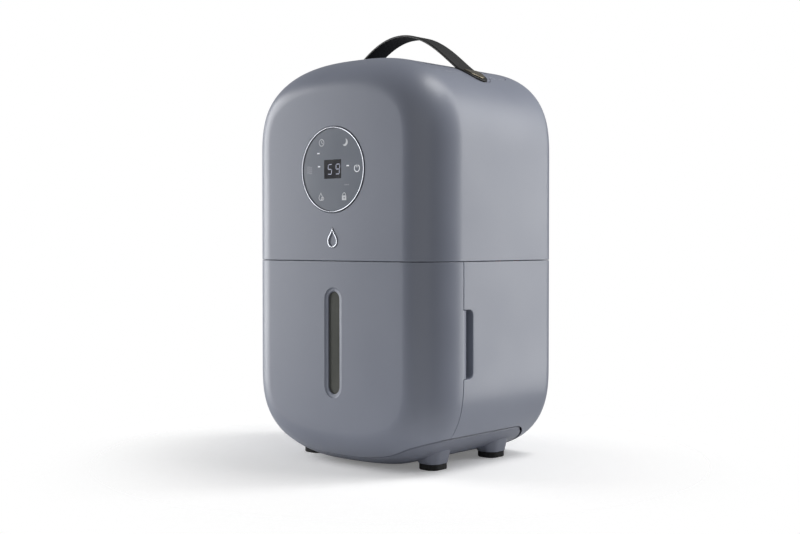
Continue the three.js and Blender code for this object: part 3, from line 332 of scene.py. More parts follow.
FINISHES = {
    # ABS moulded with a satin grey paint: an even cool grey, soft broad highlights and a very fine
    # orange peel.
    "body_grey": finish(
        "abs_satin_grey",
        ("#7b808e", "#818694"),
        60,
        (0.38, 0.44),
        (1.4, 0.006),
        IOR=1.5,
        Coat_Weight=0.12,
        Coat_Roughness=0.25,
    ),
    # ABS moulded against a spark-eroded tool: near-black and dull.
    "dark_abs": finish(
        "abs_eroded_dark", ("#2b2d32", "#34363b"), 25, (0.5, 0.62), (0.9, 0.03), IOR=1.53
    ),
    # Unpainted ABS for inner mouldings: pale, with a dull waxy look and faint flow marks.
    "inner_abs": finish(
        "abs_moulded_pale",
        ("#b9bcc0", "#cbced2"),
        45,
        (0.45, 0.58),
        (1.2, 0.02),
        IOR=1.53,
        Subsurface_Weight=0.03,
    ),
    # Moulded rubber: black, matt, with a dusty bloom.
    "rubber": finish(
        "rubber_moulded_black", ("#050506", "#0c0c0e"), 8, (0.75, 0.9), (0.8, 0.04), IOR=1.52
    ),
    # Chromed zinc, satin dipped: a soft pale sheen, very slightly uneven from polishing.
    "chrome": finish(
        "chrome_plated_zinc", ("#a9acb3", "#b6b9c0"), 12, (0.2, 0.28), (3.0, 0.002), Metallic=1.0
    ),
    # Bronze-tinted steel, brushed along the strap.
    "gunmetal": finish(
        "bronze_tint_brushed",
        ("#8a8270", "#a39a86"),
        6,
        (0.2, 0.3),
        (6.0, 0.01),
        stretch=(1.0, 30.0, 1.0),
        Metallic=1.0,
    ),
    # Smoked polycarbonate, polished: nearly black-grey and glossy, with a warm olive cast.
    "smoked": finish(
        "polycarbonate_smoked", ("#4c4e4a", "#585954"), 30, (0.12, 0.2), (8.0, 0.004), IOR=1.58
    ),
    # Natural polypropylene, blow moulded: milky, lets light through.
    "clear_pp": finish(
        "polypropylene_natural",
        ("#dfe5ea", "#eef2f5"),
        40,
        (0.3, 0.42),
        (1.5, 0.02),
        IOR=1.49,
        Transmission_Weight=0.55,
    ),
    # Drawn copper tube: warm metal, slightly oxidised in patches.
    "copper": finish(
        "copper_drawn", ("#a8603c", "#c98458"), 9, (0.22, 0.4), (1.0, 0.01), Metallic=1.0
    ),
    # Steel, stoved black enamel: slight orange peel.
    "black_steel": finish(
        "steel_black_enamel",
        ("#141517", "#1d1e21"),
        30,
        (0.28, 0.4),
        (3.0, 0.03),
        Coat_Weight=0.5,
        Coat_Roughness=0.2,
    ),
    # Zinc-plated steel: cloudy blue-grey spangle.
    "steel": finish(
        "steel_zinc_plated", ("#8f9498", "#b3b8bc"), 5, (0.28, 0.42), (1.2, 0.01), Metallic=1.0
    ),
    "leather": leather_finish(),
    "aluminium": fin_finish(),
    "board": board_finish(),
    "foam": woven_finish(),
}
# ABS moulded, satin, in a slightly deeper slate grey that is painted shade: the tray sits under the
# body and reads darker than the satin-painted body.
BASE_GREY_PAINTED_SHADE = finish("abs_satin_slate_painted_shade", ("#6f7380", "#757986"), 60, (0.42, 0.5), (1.4, 0.01), IOR=1.5)
# Edge paint on the cut leather: smoother and glossier than the grain side.
EDGE_PAINT = finish(
    "leather_edge_paint", ("#060607", "#0c0d0f"), 10, (0.34, 0.48), (1.5, 0.03), IOR=1.5
)
# Back-printed polycarbonate film: flat grey ink seen through a glossy skin.
PANEL_FILM = finish(
    "polycarbonate_film_grey",
    ("#767c87", "#7a808b"),
    30,
    (0.2, 0.24),
    (9.0, 0.002),
    IOR=1.58,
    Coat_Weight=0.2,
)
# Screen-printed white ink: chalky, with a soft edge-to-edge drift.
WHITE_INK = finish("ink_white_screened", ("#c9ccd1", "#dfe2e6"), 4, (0.4, 0.5), (0.5, 0.01))
# The same ink unlit and thin, so it is nearly lost in the film.
FAINT_INK = finish("ink_grey_screened", ("#8f939c", "#9a9ea7"), 4, (0.4, 0.5), (0.5, 0.01))
# Black print behind the film, around the digits.
DISPLAY_FILM = finish(
    "display_window_black", ("#1c1d24", "#24252c"), 20, (0.14, 0.2), (6.0, 0.002), IOR=1.58
)
DIGIT_LIGHT = lit_finish("display_segment_lit", ("#a9adca", "#d3d6e6"), 0.4)
LED_LIGHT = lit_finish("indicator_lit", ("#d8dbe2", "#f2f4f8"), 0.35)

# ---------------------------------------------------------------- outlines

FACING = {
    "front": lambda u, v, depth: (u, depth, v),
    "plan": lambda u, v, depth: (u, v, depth),
    "side": lambda u, v, depth: (depth, u, v),
}


def arch_outline(steps=96):
    """The body's front view: flattened arches and straight sides, each point with its normal."""
    points = []
    straight = [LOWER_CENTRE + (UPPER_CENTRE - LOWER_CENTRE) * k / 5 for k in (1, 2, 3, 4)]
    for centre, side in ((UPPER_CENTRE, 1), (LOWER_CENTRE, -1)):
        for step in range(steps + 1):
            turn = pi * step / steps
            across = side * cos(turn)
            u = copysign(abs(across) ** (2 / ARCH_POWER), across)
            v = abs(sin(turn)) ** (2 / ARCH_POWER)
            nx = copysign(abs(u) ** (ARCH_POWER - 1), u) / HALF_WIDTH
            nz = side * v ** (ARCH_POWER - 1) / ARCH_RISE
            size = hypot(nx, nz)
            points.append((HALF_WIDTH * u, centre + side * ARCH_RISE * v, nx / size, nz / size))
        for height in straight[:: -side]:
            points.append((-side * HALF_WIDTH, height, -side, 0.0))
    return points


def rounded(half_u, half_v, corner, centre=(0.0, 0.0), steps=12):
    """A rectangle with round corners; a corner as large as the half width makes a slot."""
    points = []
    for quarter, (su, sv) in enumerate(((1, 1), (-1, 1), (-1, -1), (1, -1))):
        for step in range(steps + 1):
            turn = (quarter + step / steps) * pi / 2
            nu, nv = cos(turn), sin(turn)
            u = centre[0] + su * (half_u - corner) + corner * nu
            v = centre[1] + sv * (half_v - corner) + corner * nv
            points.append((u, v, nu, nv))
    return points


def circle(radius, centre=(0.0, 0.0), steps=24):
    return rounded(radius, radius, radius, centre, steps)


def traced(points):
    """A listed outline, run anticlockwise, with each point's normal from its neighbours."""
    made = []
    for i, (u, v) in enumerate(points):
        (u0, v0), (u1, v1) = points[i - 1], points[(i + 1) % len(points)]
        size = hypot(u1 - u0, v1 - v0)
        made.append((u, v, (v1 - v0) / size, -(u1 - u0) / size))
    return made


# The share of a drop's height that lies below its widest place.
DROP_LOW = 0.33


def drop_points(height, band, centre, steps=14):
    """A water drop with its tip up, drawn in by `band`."""
    cx, cz = centre
    low, tip = height * DROP_LOW - band, height * (1 - DROP_LOW) - band * 1.9
    right = []
    for step in range(steps):
        t = step / steps
        ends = ((0.0, tip), (low * 0.3, tip * 0.55), (low, low * 0.75), (low, 0.0))
        weights = ((1 - t) ** 3, 3 * t * (1 - t) ** 2, 3 * t * t * (1 - t), t**3)
        right.append([sum(w * end[k] for w, end in zip(weights, ends)) for k in (0, 1)])
    under = [
        [low * cos(a), low * sin(a)]
        for a in (-pi * step / (2 * steps) for step in range(2 * steps + 1))
    ]
    left = [[-u, v] for u, v in reversed(right[1:])]
    return [(cx + u, cz + v) for u, v in reversed(right + under + left)]


# ---------------------------------------------------------------- shaping

ARCH = arch_outline()


def tower(outline, levels, facing="front", ring=False):
    """A closed form: an outline carried through levels of (depth, inset). A ring meets itself."""
    form = bmesh.new()
    place = form.verts.layers.int.new("place")
    bmesh.ops.create_circle(form, segments=len(outline), radius=1.0)
    for number, vert in enumerate(form.verts):
        vert[place] = number
    loop, edges = form.verts[:], form.edges[:]
    first = edges
    for step, (depth, inset) in enumerate(levels):
        if step:
            made = bmesh.ops.extrude_edge_only(form, edges=edges)["geom"]
            loop = [g for g in made if isinstance(g, bmesh.types.BMVert)]
            edges = [g for g in made if isinstance(g, bmesh.types.BMEdge) and g.is_boundary]
        for vert in loop:
            u, v, nu, nv = outline[vert[place]]
            vert.co = Vector(FACING[facing](u - inset * nu, v - inset * nv, depth)) * MM
    if ring:
        bmesh.ops.bridge_loops(form, edges=first + edges)
    else:
        bmesh.ops.holes_fill(form, edges=[e for e in form.edges if e.is_boundary], sides=0)
    bmesh.ops.remove_doubles(form, verts=form.verts[:], dist=SAME_POINT * MM)
    bmesh.ops.recalc_face_normals(form, faces=form.faces[:])
    return form


def barrel_levels(inset=0.0, steps=EDGE_STEPS):
    """The body's depth profile, from the flat front over both rounded edges to the back."""
    levels = [(FRONT + inset, FRONT_ROUND_ACROSS + CAP_MARGIN)]
    for step in range(steps + 1):
        turn = pi / 2 * step / steps
        depth = FRONT + inset + (FRONT_ROUND_DEEP - inset) * (1 - cos(turn))
        levels.append((depth, inset + (FRONT_ROUND_ACROSS - inset) * (1 - sin(turn))))
    levels += [(depth, inset) for depth in SHELL_ROWS]
    for step in range(steps // 2 + 1):
        turn = pi / 2 * step / (steps // 2)
        depth = BACK - inset - (REAR_ROUND - inset) * (1 - sin(turn))
        levels.append((depth, inset + (REAR_ROUND - inset) * (1 - cos(turn))))
    return [*levels, (BACK - inset, REAR_ROUND + CAP_MARGIN)]


def body_form(inset=0.0, steps=EDGE_STEPS):
    """The whole body as one block, drawn in by `inset` for what lies within it."""
    return tower(ARCH, barrel_levels(inset, steps))


def edge_levels(start, end, round_start=0.0, round_end=0.0, steps=3, flat=0.0):
    """Levels from start to end, rounded at either end; `flat` adds an even middle to the end."""
    way = copysign(1.0, end - start)
    levels = []
    for step in range(steps + 1 if round_start else 1):
        turn = pi / 2 * step / steps if round_start else pi / 2
        levels.append((start + way * round_start * (1 - cos(turn)), round_start * (1 - sin(turn))))
    for step in range(steps + 1 if round_end else 1):
        turn = pi / 2 * (1 - step / steps) if round_end else pi / 2
        levels.append((end - way * round_end * (1 - cos(turn)), round_end * (1 - sin(turn))))
    if flat:
        levels.append((end, round_end + flat))
    return levels


def joined(*forms):
    """Several closed forms that don't meet, as one."""
    whole = bmesh.new()
    for form in forms:
        mesh = bpy.data.meshes.new("part")
        form.to_mesh(mesh)
        form.free()
        whole.from_mesh(mesh)
        bpy.data.meshes.remove(mesh)
    return whole


def combine(form, other, operation="DIFFERENCE"):
    """One closed form with another cut out of it, added to it, or kept where both are."""
    blanks = []
    for each in (form, other):
        mesh = bpy.data.meshes.new("blank")
        each.to_mesh(mesh)
        each.free()
        blank = bpy.data.objects.new("blank", mesh)
        bpy.context.scene.collection.objects.link(blank)
        blanks.append(blank)
    cut = blanks[0].modifiers.new("cut", "BOOLEAN")
    cut.object, cut.operation, cut.solver = blanks[1], operation, "EXACT"
    bpy.context.view_layer.update()
    made = bmesh.new()
    made.from_object(blanks[0], bpy.context.evaluated_depsgraph_get())
    for blank in blanks:
        mesh = blank.data
        bpy.data.objects.remove(blank)
        bpy.data.meshes.remove(mesh)
    return made


def trim(form, *planes, rounding=0.0):
    """Takes off what lies beyond each plane (point, outward normal) and rounds the cuts' edges."""
    for at, normal in planes:
        cut = bmesh.ops.bisect_plane(
            form,
            geom=form.verts[:] + form.edges[:] + form.faces[:],
            plane_co=Vector(at) * MM,
            plane_no=normal,
            clear_outer=True,
        )
        rim = [g for g in cut["geom_cut"] if isinstance(g, bmesh.types.BMEdge)]
        bmesh.ops.holes_fill(form, edges=rim, sides=0)
    if rounding:
        rims = [e for e in form.edges if e.calc_face_angle(0) > 1.0]
        bmesh.ops.bevel(
            form,
            geom=rims,
            offset=rounding * MM,
            segments=3,
            profile=0.5,
            affect="EDGES",
            material=-1,
        )
    return form


def mirrored(form):
    """The same form on the left-hand side."""
    bmesh.ops.scale(form, vec=(-1, 1, 1), verts=form.verts[:])
    bmesh.ops.recalc_face_normals(form, faces=form.faces[:])
    return form


def place_piece(name, form, body, material, stands_for=(), sharp=32, tidy=True):
    """Turns a form into a named piece that rides on a body of the frame."""
    if tidy:
        bmesh.ops.remove_doubles(form, verts=form.verts[:], dist=TINY_EDGE * MM)
        bmesh.ops.dissolve_degenerate(form, edges=form.edges[:], dist=TINY_EDGE * MM)
    mesh = bpy.data.meshes.new(name)
    form.to_mesh(mesh)
    form.free()
    for each in material if isinstance(material, tuple) else (material,):
        mesh.materials.append(each)
    mesh.shade_smooth()
    mesh.set_sharp_from_angle(angle=radians(sharp))
    piece = bpy.data.objects.new(name, mesh)
    bpy.context.scene.collection.objects.link(piece)
    even = piece.modifiers.new("even_shading", "WEIGHTED_NORMAL")
    even.keep_sharp, even.weight = True, 60
    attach(piece, body)
    if stands_for:
        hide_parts(*stands_for)
    return piece


# ---------------------------------------------------------------- body shells

GREY = FINISHES["body_grey"]


def grille_plan(gap):
    """The outlet insert seen from above, as a tall block: a rounded panel with two round ears."""
    tall = [(UPPER_CENTRE - 10, 0), (ABOVE, 0)]
    panel = rounded(
        INSERT_HALF_WIDTH + gap, INSERT_HALF_DEPTH + gap, INSERT_CORNER + gap, INSERT_CENTRE
    )
    plan = tower(panel, tall, "plan")
    for side in (-1, 1):
        ear = tower(circle(EAR_RADIUS + gap, (side * EAR_X, STRAP_Y)), tall, "plan")
        plan = combine(plan, ear, "UNION")
    return plan


badge_at = (0.0, SEAM_Z + BADGE_RISE - BADGE_TALL * 0.17)
badge_outer = drop_points(BADGE_TALL, 0.0, badge_at)
badge_inner = drop_points(BADGE_TALL, BADGE_BAND, badge_at)
# Each point's inward way runs to the matching point of the inner drop, so the band stays even.
BADGE = [
    (u, v, (u - inner_u) / BADGE_BAND, (v - inner_v) / BADGE_BAND)
    for (u, v), (inner_u, inner_v) in zip(badge_outer, badge_inner)
]


def mouth(outline, depth, lip=0.5):
    """A cutter into the front face whose mouth is eased by `lip`."""
    eased = [
        (FRONT - BEYOND, -lip), (FRONT, -lip), (FRONT + lip * 0.4, -lip * 0.4), (FRONT + lip, 0)
    ]
    return tower(outline, [*eased, (FRONT + depth, 0)])


SEAM_BELOW = ((0, 0, SEAM_Z - SEAM_GAP / 2), (0, 0, 1))
upper = trim(body_form(), ((0, 0, SEAM_Z + SEAM_GAP / 2), (0, 0, -1)), rounding=0.7)
upper = combine(upper, body_form(WALL, INNER_STEPS))
upper = combine(upper, grille_plan(SEAM_GAP))
rear_window = tower(
    rounded(REAR_HALF, REAR_TALL, REAR_CORNER, (0, REAR_Z)),
    [
        (BACK - REAR_ROUND, 0),
        (BACK - 0.6, 0),
        (BACK - 0.2, -0.25),
        (BACK, -0.6),
        (BACK + BEYOND, -0.6),
    ],
)
panel_mouth = mouth(circle(DISC_RADIUS + FIT, (0, DISC_Z), 32), 9, 0.7)
upper = combine(upper, joined(panel_mouth, mouth(BADGE, 1.5, 0.3), rear_window))
place_piece("upper_shell", upper, "housing", GREY, ["upper_housing"])


def base_outline(grow):
    """The tray's outline seen from above, grown on every side."""
    return rounded(BASE_HALF_WIDTH + grow, BASE_HALF_DEPTH + grow, BASE_CORNER + grow, steps=20)


pocket_at = (POCKET_BACK - POCKET_HALF_DEEP, POCKET_Z)
pocket_outline = rounded(POCKET_HALF_DEEP, POCKET_HALF, POCKET_CORNER, pocket_at, 8)
tank_seam = (0, TANK_SEAM_Y + SEAM_GAP / 2, 0)
lower = trim(body_form(), SEAM_BELOW, (tank_seam, (0, -1, 0)), rounding=0.6)
lower = combine(lower, body_form(WALL, INNER_STEPS))
lower = combine(lower, tower(base_outline(BASE_REVEAL), BASE_BLOCK, "plan"))
for side in (1, -1):
    cup = tower(pocket_outline, [(POCKET_FLOOR - 2, -2), (HALF_WIDTH - 1.5, -2)], "side")
    cup = trim(cup, (tank_seam, (0, -1, 0)))
    floor_round = [(POCKET_FLOOR, 2.5), (POCKET_FLOOR + 0.8, 0.8), (POCKET_FLOOR + 2.5, 0)]
    mouth_round = [(HALF_WIDTH - 0.8, 0), (HALF_WIDTH - 0.25, -0.2), (HALF_WIDTH, -0.8)]
    hollow = tower(pocket_outline, [*floor_round, *mouth_round, (HALF_WIDTH + 10, -0.8)], "side")
    if side < 0:
        cup, hollow = mirrored(cup), mirrored(hollow)
    lower = combine(combine(lower, cup, "UNION"), hollow)
port_levels = [(BACK - 20, 0), (BACK - 0.4, 0), (BACK, -0.4), (BACK + BEYOND, -0.4)]
ports = [
    tower(circle(radius + FIT, at, 10), port_levels)
    for at, radius in ((DRAIN_AT, DRAIN_RADIUS), (GLAND_AT, GLAND_RADIUS))
]
lower = combine(lower, joined(*ports))
place_piece("lower_shell", lower, "housing", GREY, ["lower_housing"])

# The tank's front: its rear edges roll in behind the pockets, as lips for the fingers.
tank_rear = ((0, TANK_SEAM_Y - SEAM_GAP / 2, 0), (0, 1, 0))
tank = trim(body_form(), SEAM_BELOW, tank_rear, rounding=0.6)
tank = combine(tank, body_form(WALL, INNER_STEPS))
tank = combine(tank, tower(base_outline(BASE_REVEAL), BASE_BLOCK, "plan"))
lip_curve = [
    (
        LIP_ROOT[0] + LIP_REACH[0] * cos(pi / 2 * step / 10),
        LIP_ROOT[1] + LIP_REACH[1] * sin(pi / 2 * step / 10),
    )
    for step in range(11)
]
lip_outline = traced(lip_curve + LIP_HEEL)
lip_levels = edge_levels(POCKET_Z - POCKET_HALF + FIT, POCKET_Z + POCKET_HALF - FIT, 0.4, 0.4)
for side in (1, -1):
    lip = tower(lip_outline, lip_levels, "plan")
    tank = combine(tank, lip if side > 0 else mirrored(lip), "UNION")


def window_outline(grow, steps):
    """The level window's slot, grown on every side."""
    half = WINDOW_HALF + grow
    return rounded(half, WINDOW_TALL + grow, half, (0, WINDOW_Z), steps)


# A soft rim, a flat ledge 1.2 mm down, then the opening through the wall.
recess_levels = [
    (FRONT - BEYOND, -0.4),
    (FRONT, -0.4),
    (FRONT + 0.3, -0.1),
    (FRONT + 0.9, 0.4),
    (FRONT + 1.2, 1.2),
    (FRONT + 1.25, WINDOW_RECESS - 0.5),
    (FRONT + 1.45, WINDOW_RECESS - 0.1),
    (FRONT + 1.9, WINDOW_RECESS),
    (FRONT + 10, WINDOW_RECESS),
]
tank = combine(tank, tower(window_outline(WINDOW_RECESS, 16), recess_levels))
place_piece("tank_front_shell", tank, "tank", GREY, ["tank_front"])

pane_levels = edge_levels(FRONT + WALL + FIT + 2, FRONT + WALL + FIT, 0, 0.5, flat=2.0)
pane = tower(window_outline(PANE_MARGIN, 14), pane_levels)
place_piece("level_window", pane, "tank", FINISHES["smoked"], ["tank_window"])

# ---------------------------------------------------------------- base tray and feet

tray = tower(base_outline(-0.4), [(4.5, 2.2), (4.8, 1.0), (5.6, 0.25), (6.8, 0), (34, 0)], "plan")
tray = combine(tray, body_form(0.4), "INTERSECT")
for side, y in FEET.values():
    lean = copysign(BOSS_LEAN / BOSS_FLARE, side)
    foot = rounded(
        PAD_HALF_WIDTH + BOSS_MARGIN,
        PAD_HALF_DEPTH + BOSS_MARGIN,
        PAD_CORNER + BOSS_MARGIN,
        (side, y),
        8,
    )
    boss = [(u, v, nu - lean, nv) for u, v, nu, nv in foot]
    boss = tower(
        boss, [(PAD_TALL + 0.3, 0.6), (PAD_TALL + 0.9, 0), (14, -2.8), (22, -BOSS_FLARE)], "plan"
    )
    tray = combine(tray, boss, "UNION")
hollow = tower(base_outline(-2.5), [(7, 0), (60, 0)], "plan")
tray = combine(tray, combine(hollow, body_form(3.7, INNER_STEPS), "INTERSECT"))
# The tray's darker grey is painted shade, for the shade under the body.
place_piece("base_pan", tray, "housing", BASE_GREY_PAINTED_SHADE, ["base_tray"])

for name, (x, y) in FEET.items():
    sole = rounded(PAD_HALF_WIDTH, PAD_HALF_DEPTH, PAD_CORNER, (x, y), 8)
    pad = tower(sole, edge_levels(PAD_TALL, 0, 0.3, 1.1, flat=2.0), "plan")
    place_piece("pad_" + name, pad, "housing", FINISHES["rubber"], ["foot_pad_" + name])

# ---------------------------------------------------------------- strap and outlet insert


def arch_height(x):
    """The height of the body's crown at x."""
    return UPPER_CENTRE + ARCH_RISE * (1 - abs(x / HALF_WIDTH) ** ARCH_POWER) ** (1 / ARCH_POWER)


def strap_height(x):
    """The strap's middle surface: flat on the crown at both ends, lifted in an arch between."""
    lift = max(0.0, 1 - (x / STRAP_REACH) ** 2) ** 1.5
    return arch_height(x) - STRAP_SEAT + FIT + STRAP_THICK / 2 + STRAP_LIFT * lift


def ribbon(tip, half_width, bottom, top, rounding, start=None):
    """A strip with round tips laid along the strap, between two heights off its middle surface."""
    outline = rounded(tip, half_width, half_width, (0, STRAP_Y), 12)
    form = tower(outline, edge_levels(bottom, top, rounding, rounding), "plan")
    if start is not None:
        trim(form, ((start, 0, 0), (-1, 0, 0)))
    for x in range(-int(tip), int(tip) + 1, 3):
        whole = form.verts[:] + form.edges[:] + form.faces[:]
        bmesh.ops.bisect_plane(form, geom=whole, plane_co=(x * MM, 0, 0), plane_no=(1, 0, 0))
    for vert in form.verts:
        x, y, off = vert.co / MM
        slope = strap_height(x + 0.5) - strap_height(x - 0.5)
        size = hypot(slope, 1)
        vert.co = Vector((x - slope / size * off, y, strap_height(x) + off / size)) * MM
    return form


strap = ribbon(STRAP_TIP, STRAP_HALF, -STRAP_THICK / 2, STRAP_THICK / 2, 0.9)
# The cut edge is what faces sideways, and the narrow faces of its rounding.
for face in strap.faces:
    face.material_index = 1 if abs(face.normal.y) > 0.5 or face.calc_area() < 0.6e-6 else 0
place_piece(
    "carry_strap", strap, "housing", (FINISHES["leather"], EDGE_PAINT), ["strap"]
)
for name, side in (("left", -1), ("right", 1)):
    under, over = STRAP_THICK / 2 - 0.1, STRAP_THICK / 2 + PLATE_THICK
    plate = ribbon(
        STRAP_TIP - PLATE_MARGIN, STRAP_HALF - PLATE_MARGIN, under, over, 0.4, start=PLATE_START
    )
    plate = plate if side > 0 else mirrored(plate)
    place_piece(
        "strap_end_" + name,
        plate,
        "housing",
        FINISHES["gunmetal"],
        ["strap_plate_" + name],
    )

insert = trim(body_form(), ((0, 0, UPPER_CENTRE), (0, 0, -1)))
insert = combine(insert, body_form(WALL, INNER_STEPS))
insert = combine(insert, grille_plan(0.0), "INTERSECT")
slots = []
for row in range(SLOT_COUNT):
    slot = rounded(SLOT_HALF, SLOT_RADIUS, SLOT_RADIUS, (0, SLOT_FIRST_Y + SLOT_PITCH * row), 5)
    slots.append(tower(slot, [(UPPER_CENTRE + 20, 0), (ABOVE, 0)], "plan"))
insert = combine(insert, joined(*slots))
for side in (1, -1):
    seat = ribbon(STRAP_TIP + 0.3, STRAP_HALF + 0.3, -STRAP_THICK / 2 - 0.3, 7, 0.0, start=80)
    insert = combine(insert, seat if side > 0 else mirrored(seat))
place_piece("outlet_insert", insert, "housing", GREY, ["top_grille"])

# ---------------------------------------------------------------- control panel and badge

ring_profile = [
    (-102.5, 0),
    (-105.5, 0),
    (-105.9, 0.12),
    (-106.1, 0.45),
    (-106.1, 0.9),
    (-105.9, 1.3),
    (-105.4, RING_WIDTH),
    (-102.5, RING_WIDTH),
]
ring = tower(circle(DISC_RADIUS, (0, DISC_Z), 40), ring_profile, ring=True)
place_piece("panel_ring", ring, "housing", FINISHES["chrome"], ["control_ring"])
panel = circle(DISC_RADIUS - RING_WIDTH - FIT / 2, (0, DISC_Z), 40)
panel = tower(panel, edge_levels(FRONT + WALL, PANEL_FACE, 0, 0.25, flat=6.0))
place_piece("panel_disc", panel, "housing", PANEL_FILM, ["control_panel"])

badge_levels = [
    (-104.4, 0),
    (-105.6, 0),
    (-105.95, 0.2),
    (-106.1, 0.6),
    (-106.1, 1.4),
    (-105.95, 1.8),
    (-105.6, 2.0),
    (-104.9, 2.0),
]
badge = tower(BADGE, badge_levels)
# The floor inside the drop's bright band is painted like the body.
for face in badge.faces:
    sunk = face.calc_center_median().y > -105.2 * MM
    face.material_index = 1 if face.normal.y < -0.99 and sunk else 0
place_piece("drop_badge", badge, "housing", (FINISHES["chrome"], GREY), ["badge"])


def drawn(lines, width=0.0, closed=True, proud=0.05):
    """Print on the panel's face: strokes of a width along rows of points, or filled shapes."""
    curve = bpy.data.curves.new("print", "CURVE")
    curve.dimensions = "3D" if width else "2D"
    if width:
        curve.bevel_depth, curve.bevel_resolution, curve.use_fill_caps = width / 2, 1, True
    else:
        curve.fill_mode, curve.extrude = "BOTH", proud
    for line in lines:
        spline = curve.splines.new("POLY")
        spline.points.add(len(line) - 1)
        for point, (u, v) in zip(spline.points, line):
            point.co = (u, v, 0, 1)
        spline.use_cyclic_u = closed
    holder = bpy.data.objects.new("print", curve)
    bpy.context.scene.collection.objects.link(holder)
    bpy.context.view_layer.update()
    mesh = bpy.data.meshes.new_from_object(
        holder.evaluated_get(bpy.context.evaluated_depsgraph_get())
    )
    bpy.data.objects.remove(holder)
    bpy.data.curves.remove(curve)
    form = bmesh.new()
    form.from_mesh(mesh)
    bpy.data.meshes.remove(mesh)
    flat = proud / (width / 2) if width else 1.0
    for vert in form.verts:
        u, v, off = vert.co
        vert.co = Vector((u, PANEL_FACE - off * flat, v)) * MM
    bmesh.ops.recalc_face_normals(form, faces=form.faces[:])
    return form


def arc(centre, radius, start=0, end=360, steps=28):
    """Points along an arc, in degrees; a full turn leaves out the repeated end."""
    span = steps if end - start == 360 else steps + 1
    turns = (radians(start + (end - start) * step / steps) for step in range(span))
    return [(centre[0] + radius * cos(a), centre[1] + radius * sin(a)) for a in turns]


def box_shape(u, v, half_u, half_v):
    """The corners of a rectangle, from its middle and half sizes."""
    return [(u + su * half_u, v + sv * half_v) for su, sv in ((-1, -1), (1, -1), (1, 1), (-1, 1))]


clock, moon, power = (-16, 333.5), (17, 332.6), (33.5, 305.6)
lock, drop, air = (15.8, 277.5), (-16.6, 277.7), (-33.4, 305.9)
crescent = arc(moon, 3.9, -150, 70) + list(
    reversed(arc((moon[0] - 2.1, moon[1] + 1.2), 3.6, -118, 38))
)
lock_body = box_shape(lock[0], lock[1] - 1.2, 3.0, 2.4)
shackle = list(reversed(arc((lock[0], lock[1] + 2.0), 1.9, 0, 180, 12)))
shackle = [(lock[0] - 1.9, lock[1] + 1.2), *shackle, (lock[0] + 1.9, lock[1] + 1.2)]
hands = [(clock[0], clock[1] + 2.0), (clock[0], clock[1]), (clock[0] + 1.6, clock[1] - 0.9)]
symbols = [
    drawn([arc(clock, 3.4)], 0.6),
    drawn([hands], 0.6, closed=False),
    drawn([crescent]),
    drawn([lock_body, arc((lock[0], lock[1] - 1.2), 0.85, steps=12)]),
    drawn([shackle], 0.75, closed=False),
    drawn([drop_points(8.4, 0.2, (drop[0] - 0.6, drop[1] - 0.8), 8)], 0.65),
    drawn([arc((drop[0] + 1.9, drop[1] - 1.6), 1.7)], 0.6),
]
place_piece("panel_symbols", joined(*symbols), "housing", WHITE_INK, tidy=False)
waves = [
    [(air[0] + 3.6 * (t / 8 - 0.5) * 2, air[1] + row + 0.7 * sin(t * pi / 4)) for t in range(9)]
    for row in (-3, -1, 1, 3)
]
place_piece("panel_symbol_unlit", drawn(waves, 0.8, closed=False), "housing", FAINT_INK, tidy=False)
lamps = [(-20.5, 322.7, 1.7, 0.6), (-19.7, 309.1, 1.6, 0.55), (20.8, 308.7, 1.7, 0.6)]
lit = [drawn([box_shape(*lamp)]) for lamp in lamps]
lit.append(drawn([arc(power, 3.5, 120, 420)], 0.8, closed=False))
lit.append(drawn([[(power[0], power[1] + 3.7), (power[0], power[1] + 0.9)]], 0.8, closed=False))
place_piece("panel_lamps", joined(*lit), "housing", LED_LIGHT, tidy=False)
dim = [box_shape(19.4 + 2.2 * k, 289.5, 0.8, 0.5) for k in (-1, 0, 1)]
place_piece(
    "panel_lamps_dim", joined(*[drawn([lamp]) for lamp in dim]), "housing", FAINT_INK, tidy=False
)

display = drawn([box_shape(-0.3, 306.0, 12.0, 9.7)], proud=0.03)
place_piece("display_window", display, "housing", DISPLAY_FILM, tidy=False)


def digit(shown, left, bottom=300.8, wide=5.2, tall=10.0, lean=0.09):
    """A seven-segment numeral, leaning a little, as separate bars: top, sides, middle and foot."""
    middle, gap = tall / 2, 0.5
    bars = {
        "top": ((gap, tall), (wide - gap, tall)),
        "upper_left": ((0, middle + gap), (0, tall - gap)),
        "upper_right": ((wide, middle + gap), (wide, tall - gap)),
        "middle": ((gap, middle), (wide - gap, middle)),
        "lower_left": ((0, gap), (0, middle - gap)),
        "lower_right": ((wide, gap), (wide, middle - gap)),
        "foot": ((gap, 0), (wide - gap, 0)),
    }
    return [[(left + u + lean * v, bottom + v) for u, v in bars[name]] for name in shown]


five = digit(("top", "upper_left", "middle", "lower_right", "foot"), -7.1)
nine = digit(("top", "upper_left", "upper_right", "middle", "lower_right", "foot"), 3.9)
digits = drawn(five + nine, 0.72, closed=False, proud=0.07)
place_piece("display_digits", digits, "housing", DIGIT_LIGHT, tidy=False)

# ---------------------------------------------------------------- back of the machine

